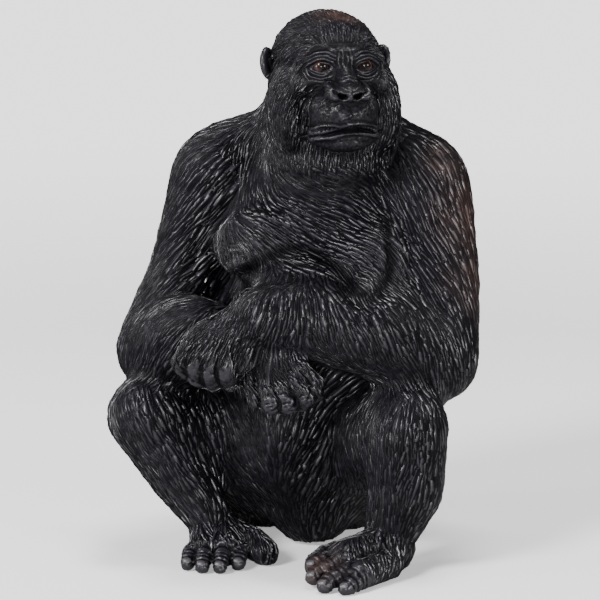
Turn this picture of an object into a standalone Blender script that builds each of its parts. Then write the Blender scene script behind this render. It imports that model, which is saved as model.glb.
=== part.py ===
"""Solid plastic figurine of a seated gorilla, knees drawn up and forearms crossed on them.

The whole figure is built in millimetres from balls and tapered limbs, fused in one skin,
softened and thinned. Its parts are then cut from it: each part takes what lies in the room
round its own forms, with a thin gap to its neighbours, and is turned into metres.
+Z is up, the front faces -Y, and the figure's left side is at +X.
"""
import math

import bmesh
import bpy
from mathutils import Euler, Matrix, Vector

METRES = 0.001              # one millimetre in metres
GAP = 0.25                  # width of the cuts between parts
VOXEL = 0.6                 # grain of trunk and limbs
FINE_VOXEL = 0.36           # grain of head, hands and feet
SOFT_PASSES = 45            # softening of trunk and limbs
HEAD_PASSES = 9             # softening of the head
HEAD_SHRINK = 0.1           # what that takes off it
FINE_PASSES = 3             # softening of the whole
SHRINK = 0.45               # what the softening takes off trunk and limbs
OUTER_FACES = 6000          # triangles on the whole figure's surface
CUT_FACES = 110             # triangles on the surface that parts two pieces
EYE_FACES = 60              # triangles on an eye
CUT_VOXEL = 0.9             # grain of that surface
SLIVERS = (0.11, 0.07, 0.03, 1e-5)  # edges to close up after a cut: the first that leaves no hole
FLAT_ANGLE = math.radians(5.0)      # faces this close to flat are joined after a cut
SHARE = 0.66                # share of its triangles that a part keeps after its cuts
FINE_SHARE = 0.9            # the same for the head, hands, feet and ears
FLOOR_SINK = 0.35           # how deep the soles are cut flat
FLOOR_SNAP = 0.08           # what lies this close to the floor is put on it
BLOCK = 120.0               # side of the block that trims soles and seat
BALL_DETAIL = 3             # icosphere subdivisions of a ball
SKIN = (0.030, 0.028, 0.029, 1.0)
EYE_BROWN = (0.16, 0.05, 0.02, 1.0)

HEAD_AT = Vector((4.25, -2.2, 67.2))
HEAD_TURN = 20.0            # degrees, towards the figure's left
EYE_RADIUS = 1.05
EYE_AT = (2.95, -8.75, 1.2)

NECK_TOP = (4.0, 1.5, 63.0)
NECK_ROOT = (3.0, 4.5, 54.0)
SHOULDER = {"right": (-12.1, 3.0, 50.6), "left": (16.6, 1.2, 50.3)}
BICEPS = {"right": (-15.2, -0.4, 39.0), "left": (18.8, -2.0, 39.0)}
ELBOW = {"right": (-19.7, -5.6, 27.9), "left": (19.9, -7.2, 27.9)}
FOREARM_BELLY = {"right": (-13.5, -10.8, 30.4), "left": (11.0, -13.2, 33.2)}
WRIST = {"right": (-4.6, -16.4, 31.2), "left": (-3.4, -19.4, 36.0)}
HIP = {"right": (-6.5, 4.5, 10.8), "left": (6.5, 4.5, 10.8)}
MID_THIGH = {"right": (-13.5, -3.5, 16.6), "left": (12.0, -5.5, 16.5)}
KNEE = {"right": (-19.6, -12.2, 20.0), "left": (16.4, -14.2, 19.6)}
MID_SHIN = {"right": (-15.5, -10.8, 12.0), "left": (16.6, -13.8, 11.5)}
CALF = {"right": (-13.6, -7.4, 12.0), "left": (16.2, -9.8, 12.0)}
ANKLE = {"right": (-11.0, -10.8, 5.6), "left": (14.4, -13.9, 5.5)}


def ball(centre, radii, turn=(0.0, 0.0, 0.0)):
    """A ball or an egg: centre, one radius or three, and its turn in degrees."""
    if isinstance(radii, (int, float)):
        radii = (radii, radii, radii)
    return ("ball", Vector(centre), Vector(radii), Euler([math.radians(a) for a in turn]))


def limb(start, start_radius, end, end_radius):
    """A round-ended limb that tapers between two points; either radius may be three."""
    ends = []
    for centre, radius in ((start, start_radius), (end, end_radius)):
        radii = (radius, radius, radius) if isinstance(radius, (int, float)) else radius
        ends += [Vector(centre), Vector(radii)]
    return ("limb", *ends)


def grown(forms, extra):
    """The same forms with every radius larger by the extra."""
    wider = []
    for form in forms:
        if form[0] == "ball":
            wider.append(("ball", form[1], form[2] + Vector.Fill(3, extra), form[3]))
        else:
            more = Vector.Fill(3, extra)
            wider.append(("limb", form[1], form[2] + more, form[3], form[4] + more))
    return wider


def add_ball(work, centre, radii, turn):
    place = Matrix.LocRotScale(centre, turn, radii)
    bmesh.ops.create_icosphere(work, subdivisions=BALL_DETAIL, radius=1.0, matrix=place)


def add_limb(work, start, start_radii, end, end_radii):
    """The convex hull of the balls at the limb's ends."""
    level = Euler((0.0, 0.0, 0.0))
    add_ball(work, start, start_radii, level)
    add_ball(work, end, end_radii, level)
    bmesh.ops.delete(work, geom=list(work.edges), context="EDGES_FACES")
    bmesh.ops.convex_hull(work, input=list(work.verts), use_existing_faces=False)


def mesh_of(name, forms):
    """All the forms of a part as one mesh of overlapping closed shells."""
    whole = bmesh.new()
    for form in forms:
        piece = bmesh.new()
        if form[0] == "ball":
            add_ball(piece, *form[1:])
        else:
            add_limb(piece, *form[1:])
        loose = [vert for vert in piece.verts if not vert.link_faces]
        bmesh.ops.delete(piece, geom=loose, context="VERTS")
        bmesh.ops.recalc_face_normals(piece, faces=piece.faces)
        shell = bpy.data.meshes.new(name + "_shell")
        piece.to_mesh(shell)
        piece.free()
        whole.from_mesh(shell)
        bpy.data.meshes.remove(shell)
    mesh = bpy.data.meshes.new(name)
    whole.to_mesh(mesh)
    whole.free()
    return mesh


def add_object(name, mesh):
    part = bpy.data.objects.new(name, mesh)
    bpy.context.scene.collection.objects.link(part)
    return part


def apply_modifiers(part):
    """Replace the part's mesh by its evaluated one."""
    graph = bpy.context.evaluated_depsgraph_get()
    mesh = bpy.data.meshes.new_from_object(part.evaluated_get(graph))
    old = part.data
    part.modifiers.clear()
    part.data = mesh
    mesh.name = part.name
    bpy.data.meshes.remove(old)


def fuse(part, voxel, passes):
    """One closed skin over all the part's shells, softened."""
    remesh = part.modifiers.new("fuse", "REMESH")
    remesh.mode = "VOXEL"
    remesh.voxel_size = voxel
    soften = part.modifiers.new("soften", "SMOOTH")
    soften.factor = 0.5
    soften.iterations = passes
    apply_modifiers(part)


def thin_to(part, faces):
    thin = part.modifiers.new("thin", "DECIMATE")
    corners = sum(len(face.vertices) - 2 for face in part.data.polygons)
    thin.ratio = min(1.0, faces / corners)
    thin.use_collapse_triangulate = True
    apply_modifiers(part)


def hide(cutter):
    cutter.hide_render = True
    cutter.display_type = "WIRE"
    return cutter


def room_of(name, forms, extra):
    """A plain closed shell round a part's forms: what lies inside it belongs to the part."""
    room = add_object(name + "_room", mesh_of(name + "_room", grown(forms, extra)))
    fuse(room, CUT_VOXEL, 2)
    thin_to(room, CUT_FACES)
    return hide(room)


def clearance_of(room):
    """The room pushed out by the gap, which its later neighbours are cut back to."""
    cutter = hide(add_object(room.name + "_clearance", room.data.copy()))
    swell = cutter.modifiers.new("swell", "DISPLACE")
    swell.strength = GAP
    swell.mid_level = 0.0
    apply_modifiers(cutter)
    return cutter


def box_of(part):
    corners = [vert.co for vert in part.data.vertices]
    low = Vector([min(corner[axis] for corner in corners) for axis in range(3)])
    high = Vector([max(corner[axis] for corner in corners) for axis in range(3)])
    return low, high


def boxes_meet(first, second):
    low_a, high_a = box_of(first)
    low_b, high_b = box_of(second)
    return all(low_a[axis] < high_b[axis] and low_b[axis] < high_a[axis] for axis in range(3))


def boolean(part, operation, tool):
    change = part.modifiers.new("change", "BOOLEAN")
    change.operation = operation
    change.solver = "EXACT"
    change.use_self = True
    change.object = tool
    apply_modifiers(part)


def part_from(body, name, room, clearances, share):
    """What the body has inside the room and outside its earlier neighbours."""
    part = add_object(name, body.data.copy())
    if room:
        boolean(part, "INTERSECT", room)
    for clearance in clearances:
        if boxes_meet(part, clearance):
            boolean(part, "DIFFERENCE", clearance)
    clean(part.data)
    thin_cut(part, share)
    return part


def clean(mesh):
    """Keep the largest piece and close up its slivers, as far as it stays closed."""
    whole = bmesh.new()
    whole.from_mesh(mesh)
    bmesh.ops.triangulate(whole, faces=whole.faces)
    keep_largest(whole)
    for sliver in SLIVERS:
        work = whole.copy()
        close_slivers(work, sliver)
        closed = all(edge.is_manifold for edge in work.edges)
        if closed:
            work.to_mesh(mesh)
        work.free()
        if closed:
            break
    whole.free()


def thin_cut(part, share):
    """Thin the part where its cuts crowded it with faces that shape nothing."""
    full = part.data.copy()
    thin_to(part, share * len(full.polygons))
    work = bmesh.new()
    work.from_mesh(part.data)
    closed = all(edge.is_manifold for edge in work.edges)
    work.free()
    if not closed:
        part.data = full


def close_slivers(work, sliver):
    bmesh.ops.remove_doubles(work, verts=work.verts, dist=sliver)
    bmesh.ops.dissolve_limit(work, angle_limit=FLAT_ANGLE, verts=work.verts, edges=work.edges)
    bmesh.ops.triangulate(work, faces=work.faces)


def keep_largest(work):
    unseen = set(work.verts)
    islands = []
    while unseen:
        front = [unseen.pop()]
        island = set(front)
        while front:
            for edge in front.pop().link_edges:
                for vert in edge.verts:
                    if vert in unseen:
                        unseen.discard(vert)
                        island.add(vert)
                        front.append(vert)
        islands.append(island)
    islands.sort(key=len)
    for island in islands[:-1]:
        bmesh.ops.delete(work, geom=list(island), context="VERTS")


def at(x, y, z):
    """A place on the head, in the head's own turned frame."""
    return HEAD_AT + Matrix.Rotation(math.radians(HEAD_TURN), 3, "Z") @ Vector((x, y, z))


def egg(place, radii, tilt=(0.0, 0.0, 0.0)):
    return ball(at(*place), radii, (tilt[0], tilt[1], tilt[2] + HEAD_TURN))


def head_forms():
    """Skull, forehead, brow, cheeks, muzzle, nose, lips and jowls, turned with the head."""
    forms = [
        egg((-0.1, 1.4, 0.8), (7.5, 8.6, 7.0)),
        egg((0.2, 2.2, 2.6), (6.0, 6.7, 5.0)),
        egg((1.8, 1.0, 3.0), (4.8, 5.7, 3.9)),
        egg((0.0, -5.8, -0.2), (6.5, 4.3, 4.4)),
        egg((0.0, -4.3, 2.6), (6.1, 4.9, 4.3)),
        limb(at(-1.8, -8.8, 2.3), 1.4, at(1.8, -8.8, 2.3), 1.4),
        egg((0.0, -9.2, -4.9), (5.1, 4.8, 4.0)),
        egg((0.0, -11.2, -5.0), (4.5, 3.2, 2.6)),
        limb(at(0.0, -9.2, 1.6), 1.2, at(0.0, -12.2, -1.1), 1.4),
        egg((0.0, -12.8, -2.0), (1.9, 1.3, 1.1)),
        egg((0.0, -9.2, -8.2), (4.3, 3.8, 2.5)),
        limb(at(-2.8, -11.3, -7.3), 1.0, at(2.8, -11.3, -7.3), 1.0),
        egg((-6.0, -2.3, -5.6), (3.3, 5.4, 6.6)),
        egg((6.1, -2.3, -5.6), (3.3, 5.4, 6.6)),
        egg((0.0, -2.5, -9.0), (7.0, 6.0, 4.4)),
    ]
    for side in (-1.0, 1.0):
        forms += [
            limb(at(1.8 * side, -8.8, 2.3), 1.4, at(5.1 * side, -7.2, 1.8), 1.2),
            egg((4.9 * side, -7.2, -1.2), (2.1, 2.0, 1.9)),
            egg((1.9 * side, -12.2, -2.4), (1.1, 1.2, 0.9)),
        ]
    return forms


def ear_forms(side):
    sign = -1.0 if side == "right" else 1.0
    out, tilt = (8.4, 40.0) if side == "right" else (7.5, 32.0)
    return [egg((sign * out, 0.5, 0.6), (0.85, 1.6, 2.2), (0.0, 8.0 * sign, tilt * sign))]


def eye_forms(side):
    sign = -1.0 if side == "right" else 1.0
    return [ball(at(sign * EYE_AT[0], EYE_AT[1], EYE_AT[2]), EYE_RADIUS)]


def neck_forms():
    return [
        limb(NECK_TOP, 8.0, NECK_ROOT, 10.5),
        limb((4.0, 3.4, 62.0), (7.4, 6.6, 6.0), (2.6, 7.4, 50.0), (11.4, 8.6, 8.0)),
        ball((3.6, -3.2, 55.0), (8.0, 7.0, 5.5)),
    ]


def chest_forms():
    """Rib cage, upper back, the slopes to the shoulders and the breasts."""
    return [
        ball((2.6, 2.6, 44.0), (14.4, 11.2, 13.0)),
        ball((2.3, 6.4, 47.5), (16.4, 8.8, 9.5)),
        limb((2.6, 7.6, 50.5), (12.2, 9.0, 8.0), (1.8, 8.4, 38.0), (13.4, 9.4, 10.0)),
        limb((1.8, 8.4, 38.0), (13.4, 9.4, 10.0), (0.9, 7.6, 29.0), (12.7, 9.3, 6.5)),
        limb((-1.0, 4.5, 56.2), 5.2, (-10.8, 3.5, 53.2), 5.3),
        limb((8.0, 4.0, 55.9), 5.2, (15.0, 2.5, 53.0), 5.3),
        ball((-5.2, -6.4, 43.0), (5.6, 4.2, 5.0), (-14.0, 8.0, 0.0)),
        ball((11.0, -6.8, 42.0), (5.2, 4.2, 5.0), (-14.0, -8.0, 0.0)),
    ]


def belly_forms():
    return [
        ball((1.2, -0.8, 29.0), (14.0, 12.0, 12.0)),
        ball((-0.6, -0.6, 17.5), (11.5, 11.0, 12.0)),
        limb((-0.8, -6.5, 18.0), 5.8, (1.6, 0.2, 6.7), 6.8),
    ]


def pelvis_forms():
    return [
        ball((-0.6, 6.5, 11.0), (13.2, 9.8, 9.8)),
        limb((0.8, 7.4, 26.0), (12.4, 9.2, 10.0), (-0.4, 7.4, 12.0), (13.4, 9.6, 9.8)),
        ball((-6.2, 8.4, 7.8), (7.4, 8.0, 8.2)),
        ball((5.2, 8.4, 7.8), (7.4, 8.0, 8.2)),
    ]


def upper_arm_forms(side):
    top, mid, low = ((6.2, 5.2, 4.9), (6.7, 6.0, 5.5))[side == "left"]
    deltoid = ((6.2, 6.8, 7.0), (6.4, 7.1, 7.5))[side == "left"]
    return [
        ball(SHOULDER[side], deltoid),
        limb(SHOULDER[side], top, BICEPS[side], mid),
        limb(BICEPS[side], mid, ELBOW[side], low),
    ]


def forearm_forms(side):
    elbow, middle, wrist = ((5.1, 6.0, 3.7), (5.5, 6.1, 3.7))[side == "left"]
    return [
        ball(ELBOW[side], elbow),
        limb(ELBOW[side], elbow, FOREARM_BELLY[side], middle),
        limb(FOREARM_BELLY[side], middle, WRIST[side], wrist),
    ]


def left_hand_forms():
    """The left hand lies over the right forearm, its fingers hanging down in front."""
    knuckle_z, knuckle_y, knuckle_x = 32.2, -21.9, -9.3
    forms = [
        limb(WRIST["left"], 3.3, (-7.6, -20.6, 33.4), 3.0),
        ball((-9.2, -20.4, 32.4), (4.6, 2.7, 3.3), (-10.0, -30.0, 0.0)),
        limb((-4.6, -20.6, 33.0), 1.7, (-4.6, -20.6, 29.4), 1.4),
    ]
    for x, z in ((-12.9, 29.8), (-11.1, 28.6), (-9.1, 28.0), (-6.9, 28.1)):
        knuckle = (knuckle_x + (x + 9.9) * 0.8, knuckle_y, knuckle_z)
        middle = (x, knuckle_y, z + 0.4)
        forms.append(limb(knuckle, 1.45, middle, 1.3))
        forms.append(limb(middle, 1.3, (x + 0.3, knuckle_y + 2.5, z - 1.9), 1.15))
    return forms


def right_hand_forms():
    """The right hand droops from its wrist with the fingers half curled."""
    forms = [
        limb(WRIST["right"], 3.5, (-2.4, -18.2, 30.8), 2.9),
        ball((-0.4, -18.9, 29.2), (3.5, 2.3, 4.3), (-8.0, -28.0, 0.0)),
        limb((-2.0, -18.5, 31.0), 2.2, (2.2, -19.5, 29.6), 1.7),
        limb((-3.4, -18.2, 29.6), 1.5, (-4.2, -19.2, 26.6), 1.2),
        limb((-4.2, -19.2, 26.6), 1.2, (-3.4, -19.6, 24.0), 1.05),
    ]
    fingers = (
        ((3.0, 29.2), (5.2, 27.3), (4.8, 25.2)),
        ((1.9, 27.4), (3.8, 25.2), (2.8, 23.8)),
        ((0.2, 26.4), (1.4, 24.0), (0.2, 23.4)),
        ((-1.5, 26.2), (-0.9, 23.9), (-1.8, 23.5)),
    )
    for knuckle, middle, tip in fingers:
        knuckle_at = (knuckle[0], -20.4, knuckle[1])
        middle_at = (middle[0], -20.9, middle[1])
        forms.append(limb((knuckle[0] * 0.6 - 0.8, -19.2, knuckle[1] + 1.2), 1.3, knuckle_at, 1.35))
        forms.append(limb(knuckle_at, 1.3, middle_at, 1.2))
        forms.append(limb(middle_at, 1.2, (tip[0], -19.2, tip[1]), 1.05))
    return forms


def hand_forms(side):
    return left_hand_forms() if side == "left" else right_hand_forms()


def thigh_forms(side):
    middle, knee = ((6.8, 5.2), (7.2, 5.6))[side == "left"]
    return [
        limb(HIP[side], 8.6, MID_THIGH[side], middle),
        limb(MID_THIGH[side], middle, KNEE[side], knee),
    ]


def shin_forms(side):
    top, middle, ankle = ((5.0, 4.1, 3.0), (5.5, 4.8, 3.4))[side == "left"]
    cap = ((5.0, 4.8, 5.4), (5.7, 5.0, 6.0))[side == "left"]
    calf = ((3.8, 4.6, 6.0), (4.4, 4.8, 6.2))[side == "left"]
    return [
        ball(KNEE[side], cap),
        limb(KNEE[side], top, MID_SHIN[side], middle),
        limb(MID_SHIN[side], middle, ANKLE[side], ankle),
        ball(CALF[side], calf),
    ]


def toe(root, bend, tip, radius):
    return [limb(root, radius + 0.15, bend, radius), limb(bend, radius, tip, radius - 0.05)]


def right_foot_forms():
    forms = [
        ball((-10.6, -8.6, 3.0), (3.0, 3.8, 3.0)),
        limb((-11.2, -10.8, 4.2), 2.8, (-11.0, -15.0, 2.7), 2.3),
        limb((-9.0, -10.8, 4.0), 2.9, (-8.0, -15.0, 2.6), 2.3),
        limb((-8.5, -9.6, 3.4), 2.6, (-5.0, -11.8, 2.9), 2.3),
        limb((-5.0, -11.8, 2.9), 2.3, (-3.0, -13.5, 2.1), 2.1),
    ]
    for root_x, tip_x, tip_y in ((-11.9, -12.9, -18.0), (-10.3, -10.7, -19.2),
                                 (-8.7, -8.3, -19.0), (-7.2, -6.1, -17.0)):
        forms += toe((root_x, -14.6, 2.8), (tip_x, tip_y + 1.7, 2.4), (tip_x, tip_y, 1.2), 1.2)
    return forms


def left_foot_forms():
    forms = [
        ball((14.6, -13.9, 3.2), (3.3, 3.6, 3.2)),
        limb((13.8, -15.8, 4.0), 3.1, (8.8, -20.2, 3.4), 2.7),
        limb((14.4, -18.0, 2.5), 2.5, (11.4, -23.8, 2.1), 2.0),
        limb((9.5, -17.2, 3.4), 2.3, (6.2, -18.0, 2.8), 2.0),
        limb((6.2, -18.0, 2.8), 2.0, (4.9, -19.2, 2.1), 1.8),
    ]
    for root, bend in (((12.0, -23.9, 1.8), (10.4, -26.3, 1.4)), ((9.9, -23.4, 2.5), (7.4, -25.9, 1.6)),
                       ((8.5, -21.9, 3.2), (5.6, -23.8, 2.1)), ((7.5, -20.3, 3.8), (5.3, -21.9, 3.1))):
        tip = (bend[0] - 0.4, bend[1] - 0.5, bend[2] - 0.35)
        forms += toe(root, bend, tip, 1.3)
    return forms


def foot_forms(side):
    """A foot's forms, pressed a little into the floor that cuts its sole flat."""
    forms = left_foot_forms() if side == "left" else right_foot_forms()
    for form in forms:
        form[1].z -= FLOOR_SINK
        if form[0] == "limb":
            form[3].z -= FLOOR_SINK
    return forms


def sided(name, forms, extra, share):
    return [(f"{name}_{side}", forms(side), extra, share) for side in ("right", "left")]


def plan():
    """Every part, the room it claims round its forms and the share of its faces it keeps.

    An earlier part keeps its room, and the later ones give way to it.
    """
    return (
        sided("ear", ear_forms, 0.5, FINE_SHARE)
        + [("head", head_forms(), 0.9, FINE_SHARE)]
        + sided("hand", hand_forms, 0.5, FINE_SHARE)
        + sided("forearm", forearm_forms, 0.8, SHARE)
        + sided("foot", foot_forms, 0.9, FINE_SHARE)
        + sided("shin", shin_forms, 1.0, SHARE)
        + sided("upper_arm", upper_arm_forms, 1.4, SHARE)
        + sided("thigh", thigh_forms, 1.2, SHARE)
        + [("neck", neck_forms(), 1.6, SHARE)]
        + [("chest", chest_forms(), 1.5, SHARE)]
        + [("pelvis", pelvis_forms(), 1.5, SHARE)]
        + [("belly", None, 0.0, SHARE)]
    )


def whole_body():
    """The figure in one skin: trunk and head softened first, then hands and feet grown on."""
    trunk = neck_forms() + chest_forms() + belly_forms() + pelvis_forms()
    ends = []
    for side in ("right", "left"):
        trunk += upper_arm_forms(side) + forearm_forms(side) + thigh_forms(side) + shin_forms(side)
        ends += ear_forms(side) + hand_forms(side) + foot_forms(side)
    soft = (
        ("trunk", grown(trunk, SHRINK), VOXEL, SOFT_PASSES),
        ("skull", grown(head_forms(), HEAD_SHRINK), FINE_VOXEL, HEAD_PASSES),
    )
    joined = bmesh.new()
    for name, forms, voxel, passes in soft:
        group = add_object(name, mesh_of(name, forms))
        fuse(group, voxel, passes)
        joined.from_mesh(group.data)
        bpy.data.objects.remove(group)
    joined.from_mesh(mesh_of("ends", ends))
    body = add_object("body", bpy.data.meshes.new("body"))
    joined.to_mesh(body.data)
    joined.free()
    fuse(body, FINE_VOXEL, FINE_PASSES)
    thin_to(body, OUTER_FACES)
    return body


def floor_block():
    """A block under the figure that cuts its soles and seat flat at height zero."""
    work = bmesh.new()
    place = Matrix.Translation((0.0, 0.0, -BLOCK / 2)) @ Matrix.Scale(BLOCK, 4)
    bmesh.ops.create_cube(work, size=1.0, matrix=place)
    mesh = bpy.data.meshes.new("floor_block")
    work.to_mesh(mesh)
    work.free()
    block = add_object("floor_block", mesh)
    block.hide_render = True
    block.display_type = "WIRE"
    return block


def plastic(name, colour, roughness):
    material = bpy.data.materials.new(name)
    material.use_nodes = True
    shader = material.node_tree.nodes["Principled BSDF"]
    shader.inputs["Base Color"].default_value = colour
    shader.inputs["Roughness"].default_value = roughness
    shader.inputs["Metallic"].default_value = 0.0
    return material


def centre_shift(parts):
    """The move that puts the origin at the middle of the figure's base."""
    boxes = [box_of(part) for part in parts]
    low = [min(box[0][axis] for box in boxes) for axis in range(2)]
    high = [max(box[1][axis] for box in boxes) for axis in range(2)]
    return Vector((-(low[0] + high[0]) / 2, -(low[1] + high[1]) / 2, 0.0))


def finish(part, shift):
    """Flat soles, the shared origin, metres, smooth shading and the part's own material."""
    for vert in part.data.vertices:
        if abs(vert.co.z) < FLOOR_SNAP:
            vert.co.z = 0.0
    part.data.transform(Matrix.Scale(METRES, 4) @ Matrix.Translation(shift))
    part.data.shade_smooth()
    part.data.set_sharp_from_angle(angle=math.radians(50.0))
    part.data.materials.clear()
    if part.name.startswith("eye"):
        part.data.materials.append(plastic(part.name + "_paint", EYE_BROWN, 0.15))
    else:
        part.data.materials.append(plastic(part.name + "_plastic", SKIN, 0.42))


def main():
    for item in list(bpy.data.objects):
        bpy.data.objects.remove(item)
    body = whole_body()
    block = floor_block()
    boolean(body, "DIFFERENCE", block)
    helpers = [body, block]
    clearances = []
    parts = []
    for side in ("right", "left"):
        eye = add_object("eye_" + side, mesh_of("eye_" + side, eye_forms(side)))
        thin_to(eye, EYE_FACES)
        clearances.append(clearance_of(eye))
        parts.append(eye)
    for name, forms, extra, share in plan():
        room = room_of(name, forms, extra) if forms else None
        parts.append(part_from(body, name, room, clearances, share))
        if room:
            clearances.append(clearance_of(room))
            helpers.append(room)
    for helper in helpers + clearances:
        bpy.data.objects.remove(helper)
    shift = centre_shift(parts)
    for part in parts:
        finish(part, shift)


main()
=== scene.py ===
import math
import time

import bmesh
import bpy
import numpy as np
from mathutils import Euler, Matrix, Vector
from mathutils.bvhtree import BVHTree


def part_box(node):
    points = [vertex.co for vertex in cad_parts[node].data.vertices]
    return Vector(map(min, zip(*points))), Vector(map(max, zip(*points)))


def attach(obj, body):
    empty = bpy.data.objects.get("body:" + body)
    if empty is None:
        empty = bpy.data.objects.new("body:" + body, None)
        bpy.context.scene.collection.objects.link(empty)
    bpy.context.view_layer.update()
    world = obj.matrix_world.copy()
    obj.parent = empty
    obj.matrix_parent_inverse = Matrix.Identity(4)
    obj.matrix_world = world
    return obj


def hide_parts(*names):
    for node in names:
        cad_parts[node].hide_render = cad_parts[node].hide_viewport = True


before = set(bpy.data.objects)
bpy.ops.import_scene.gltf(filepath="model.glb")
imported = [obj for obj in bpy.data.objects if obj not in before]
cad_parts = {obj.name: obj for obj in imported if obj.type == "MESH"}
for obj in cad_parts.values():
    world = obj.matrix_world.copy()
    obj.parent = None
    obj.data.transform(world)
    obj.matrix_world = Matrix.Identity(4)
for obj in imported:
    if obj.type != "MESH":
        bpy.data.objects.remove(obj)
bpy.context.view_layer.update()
started = time.time()


def say(text):
    print(f"{time.time() - started:6.1f} s  {text}")


# The figure's forms are in millimetres round its own pose, and are moved to the
# frame and turned into metres when a piece is finished.

pose = {
    "headAt": Vector((4.25, -2.2, 67.2)),
    "headTurn": 20.0,                       # towards the figure's left
    "eye": Vector((2.95, -8.75, 1.2)),      # on the head, sideways mirrored
    "eyeRadius": 1.05,
    "neckTop": (4.0, 1.5, 63.0),
    "neckRoot": (3.0, 4.5, 54.0),
    "shoulder": {"right": (-12.1, 3.0, 50.6), "left": (16.6, 1.2, 50.3)},
    "biceps": {"right": (-15.2, -0.4, 39.0), "left": (18.8, -2.0, 39.0)},
    "elbow": {"right": (-19.7, -5.6, 27.9), "left": (19.9, -7.2, 27.9)},
    "forearm": {"right": (-13.5, -10.8, 30.4), "left": (11.0, -13.2, 33.2)},
    "wrist": {"right": (-4.6, -16.4, 31.2), "left": (-3.4, -19.4, 36.0)},
    "hip": {"right": (-6.5, 4.5, 10.8), "left": (6.5, 4.5, 10.8)},
    "thigh": {"right": (-13.5, -3.5, 16.6), "left": (12.0, -5.5, 16.5)},
    "knee": {"right": (-19.6, -12.2, 20.0), "left": (16.4, -14.2, 19.6)},
    "shin": {"right": (-15.5, -10.8, 12.0), "left": (16.6, -13.8, 11.5)},
    "calf": {"right": (-13.6, -7.4, 12.0), "left": (16.2, -9.8, 12.0)},
    "ankle": {"right": (-11.0, -10.8, 5.6), "left": (14.4, -13.9, 5.5)},
    "footSink": 0.35,                       # how deep the soles are cut flat
}
headSpin = Matrix.Rotation(math.radians(pose["headTurn"]), 3, "Z")


def onHead(x, y, z):
    return pose["headAt"] + headSpin @ Vector((x, y, z))


def headFrame(points):
    # points of the pose as sideways, backwards and up on the head
    return (points - np.array(pose["headAt"])) @ np.array(headSpin)


def eyePlace(side):
    sign = -1.0 if side == "right" else 1.0
    eye = pose["eye"]
    return onHead(sign * eye.x, eye.y, eye.z)


def frameShift():
    # the eyes' boxes tell where the frame puts the pose's own origin
    moves = []
    for side in ("right", "left"):
        low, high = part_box("eye_" + side)
        moves.append((low + high) * 500.0 - eyePlace(side))
    shift = (moves[0] + moves[1]) / 2
    return np.array((shift.x, shift.y, 0.0))


shift = frameShift()


def toFrame(points):
    return (np.asarray(points) + shift) * 0.001


def fromFrame(points):
    return np.asarray(points) * 1000.0 - shift


# a form is a list of balls, each a centre, radii and a turn; two balls make a tapered limb
def ball(centre, radii, turn=(0.0, 0.0, 0.0)):
    if isinstance(radii, float):
        radii = (radii, radii, radii)
    return [(Vector(centre), Vector(radii), Euler([math.radians(angle) for angle in turn]))]


def limb(start, startRadius, end, endRadius):
    return ball(start, startRadius) + ball(end, endRadius)


def egg(place, radii, tilt=(0.0, 0.0, 0.0)):
    return ball(onHead(*place), radii, (tilt[0], tilt[1], tilt[2] + pose["headTurn"]))


def headLimb(start, startRadius, end, endRadius):
    return limb(onHead(*start), startRadius, onHead(*end), endRadius)


def grown(forms, extra):
    more = Vector.Fill(3, extra)
    return [[(centre, radii + more, turn) for centre, radii, turn in form] for form in forms]


def headForms():
    forms = [
        egg((-0.1, 1.4, 0.8), (7.5, 8.6, 7.0)),
        egg((0.2, 2.2, 2.6), (6.0, 6.7, 5.0)),
        egg((1.8, 1.0, 3.0), (4.8, 5.7, 3.9)),
        egg((0.0, -5.8, -0.2), (6.5, 4.3, 4.4)),
        egg((0.0, -4.3, 2.6), (6.1, 4.9, 4.3)),
        headLimb((-1.8, -8.8, 2.3), 1.4, (1.8, -8.8, 2.3), 1.4),
        egg((0.0, -9.2, -4.9), (5.1, 4.8, 4.0)),
        egg((0.0, -11.2, -5.0), (4.5, 3.2, 2.6)),
        headLimb((0.0, -8.9, 1.4), 1.1, (0.0, -12.0, -1.2), 1.4),
        egg((0.0, -12.8, -2.0), (1.9, 1.3, 1.1)),
        egg((0.0, -9.2, -8.2), (5.0, 3.8, 2.5)),
        headLimb((-3.4, -10.9, -7.5), 1.1, (3.4, -10.9, -7.5), 1.1),
        egg((-6.0, -2.3, -5.6), (3.3, 5.4, 6.6)),
        egg((6.1, -2.3, -5.6), (3.3, 5.4, 6.6)),
        egg((0.0, -2.5, -9.0), (7.0, 6.0, 4.4)),
    ]
    for side in (-1.0, 1.0):
        forms += [
            headLimb((1.8 * side, -8.8, 2.3), 1.4, (5.1 * side, -7.2, 1.8), 1.2),
            egg((4.9 * side, -7.2, -1.2), (2.1, 2.0, 1.9)),
            egg((1.9 * side, -12.2, -2.4), (1.1, 1.2, 0.9)),
        ]
    return forms


def earForms(side):
    sign = -1.0 if side == "right" else 1.0
    out, tilt = (8.4, 40.0) if side == "right" else (7.5, 32.0)
    return [egg((sign * out, 0.5, 0.6), (0.85, 1.6, 2.2), (0.0, 8.0 * sign, tilt * sign))]


def neckForms():
    return [
        limb(pose["neckTop"], 8.0, pose["neckRoot"], 10.5),
        limb((4.0, 3.4, 62.0), (7.4, 6.6, 6.0), (2.6, 7.4, 50.0), (11.4, 8.6, 8.0)),
        ball((3.6, -3.2, 55.0), (8.0, 7.0, 5.5)),
    ]


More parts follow.
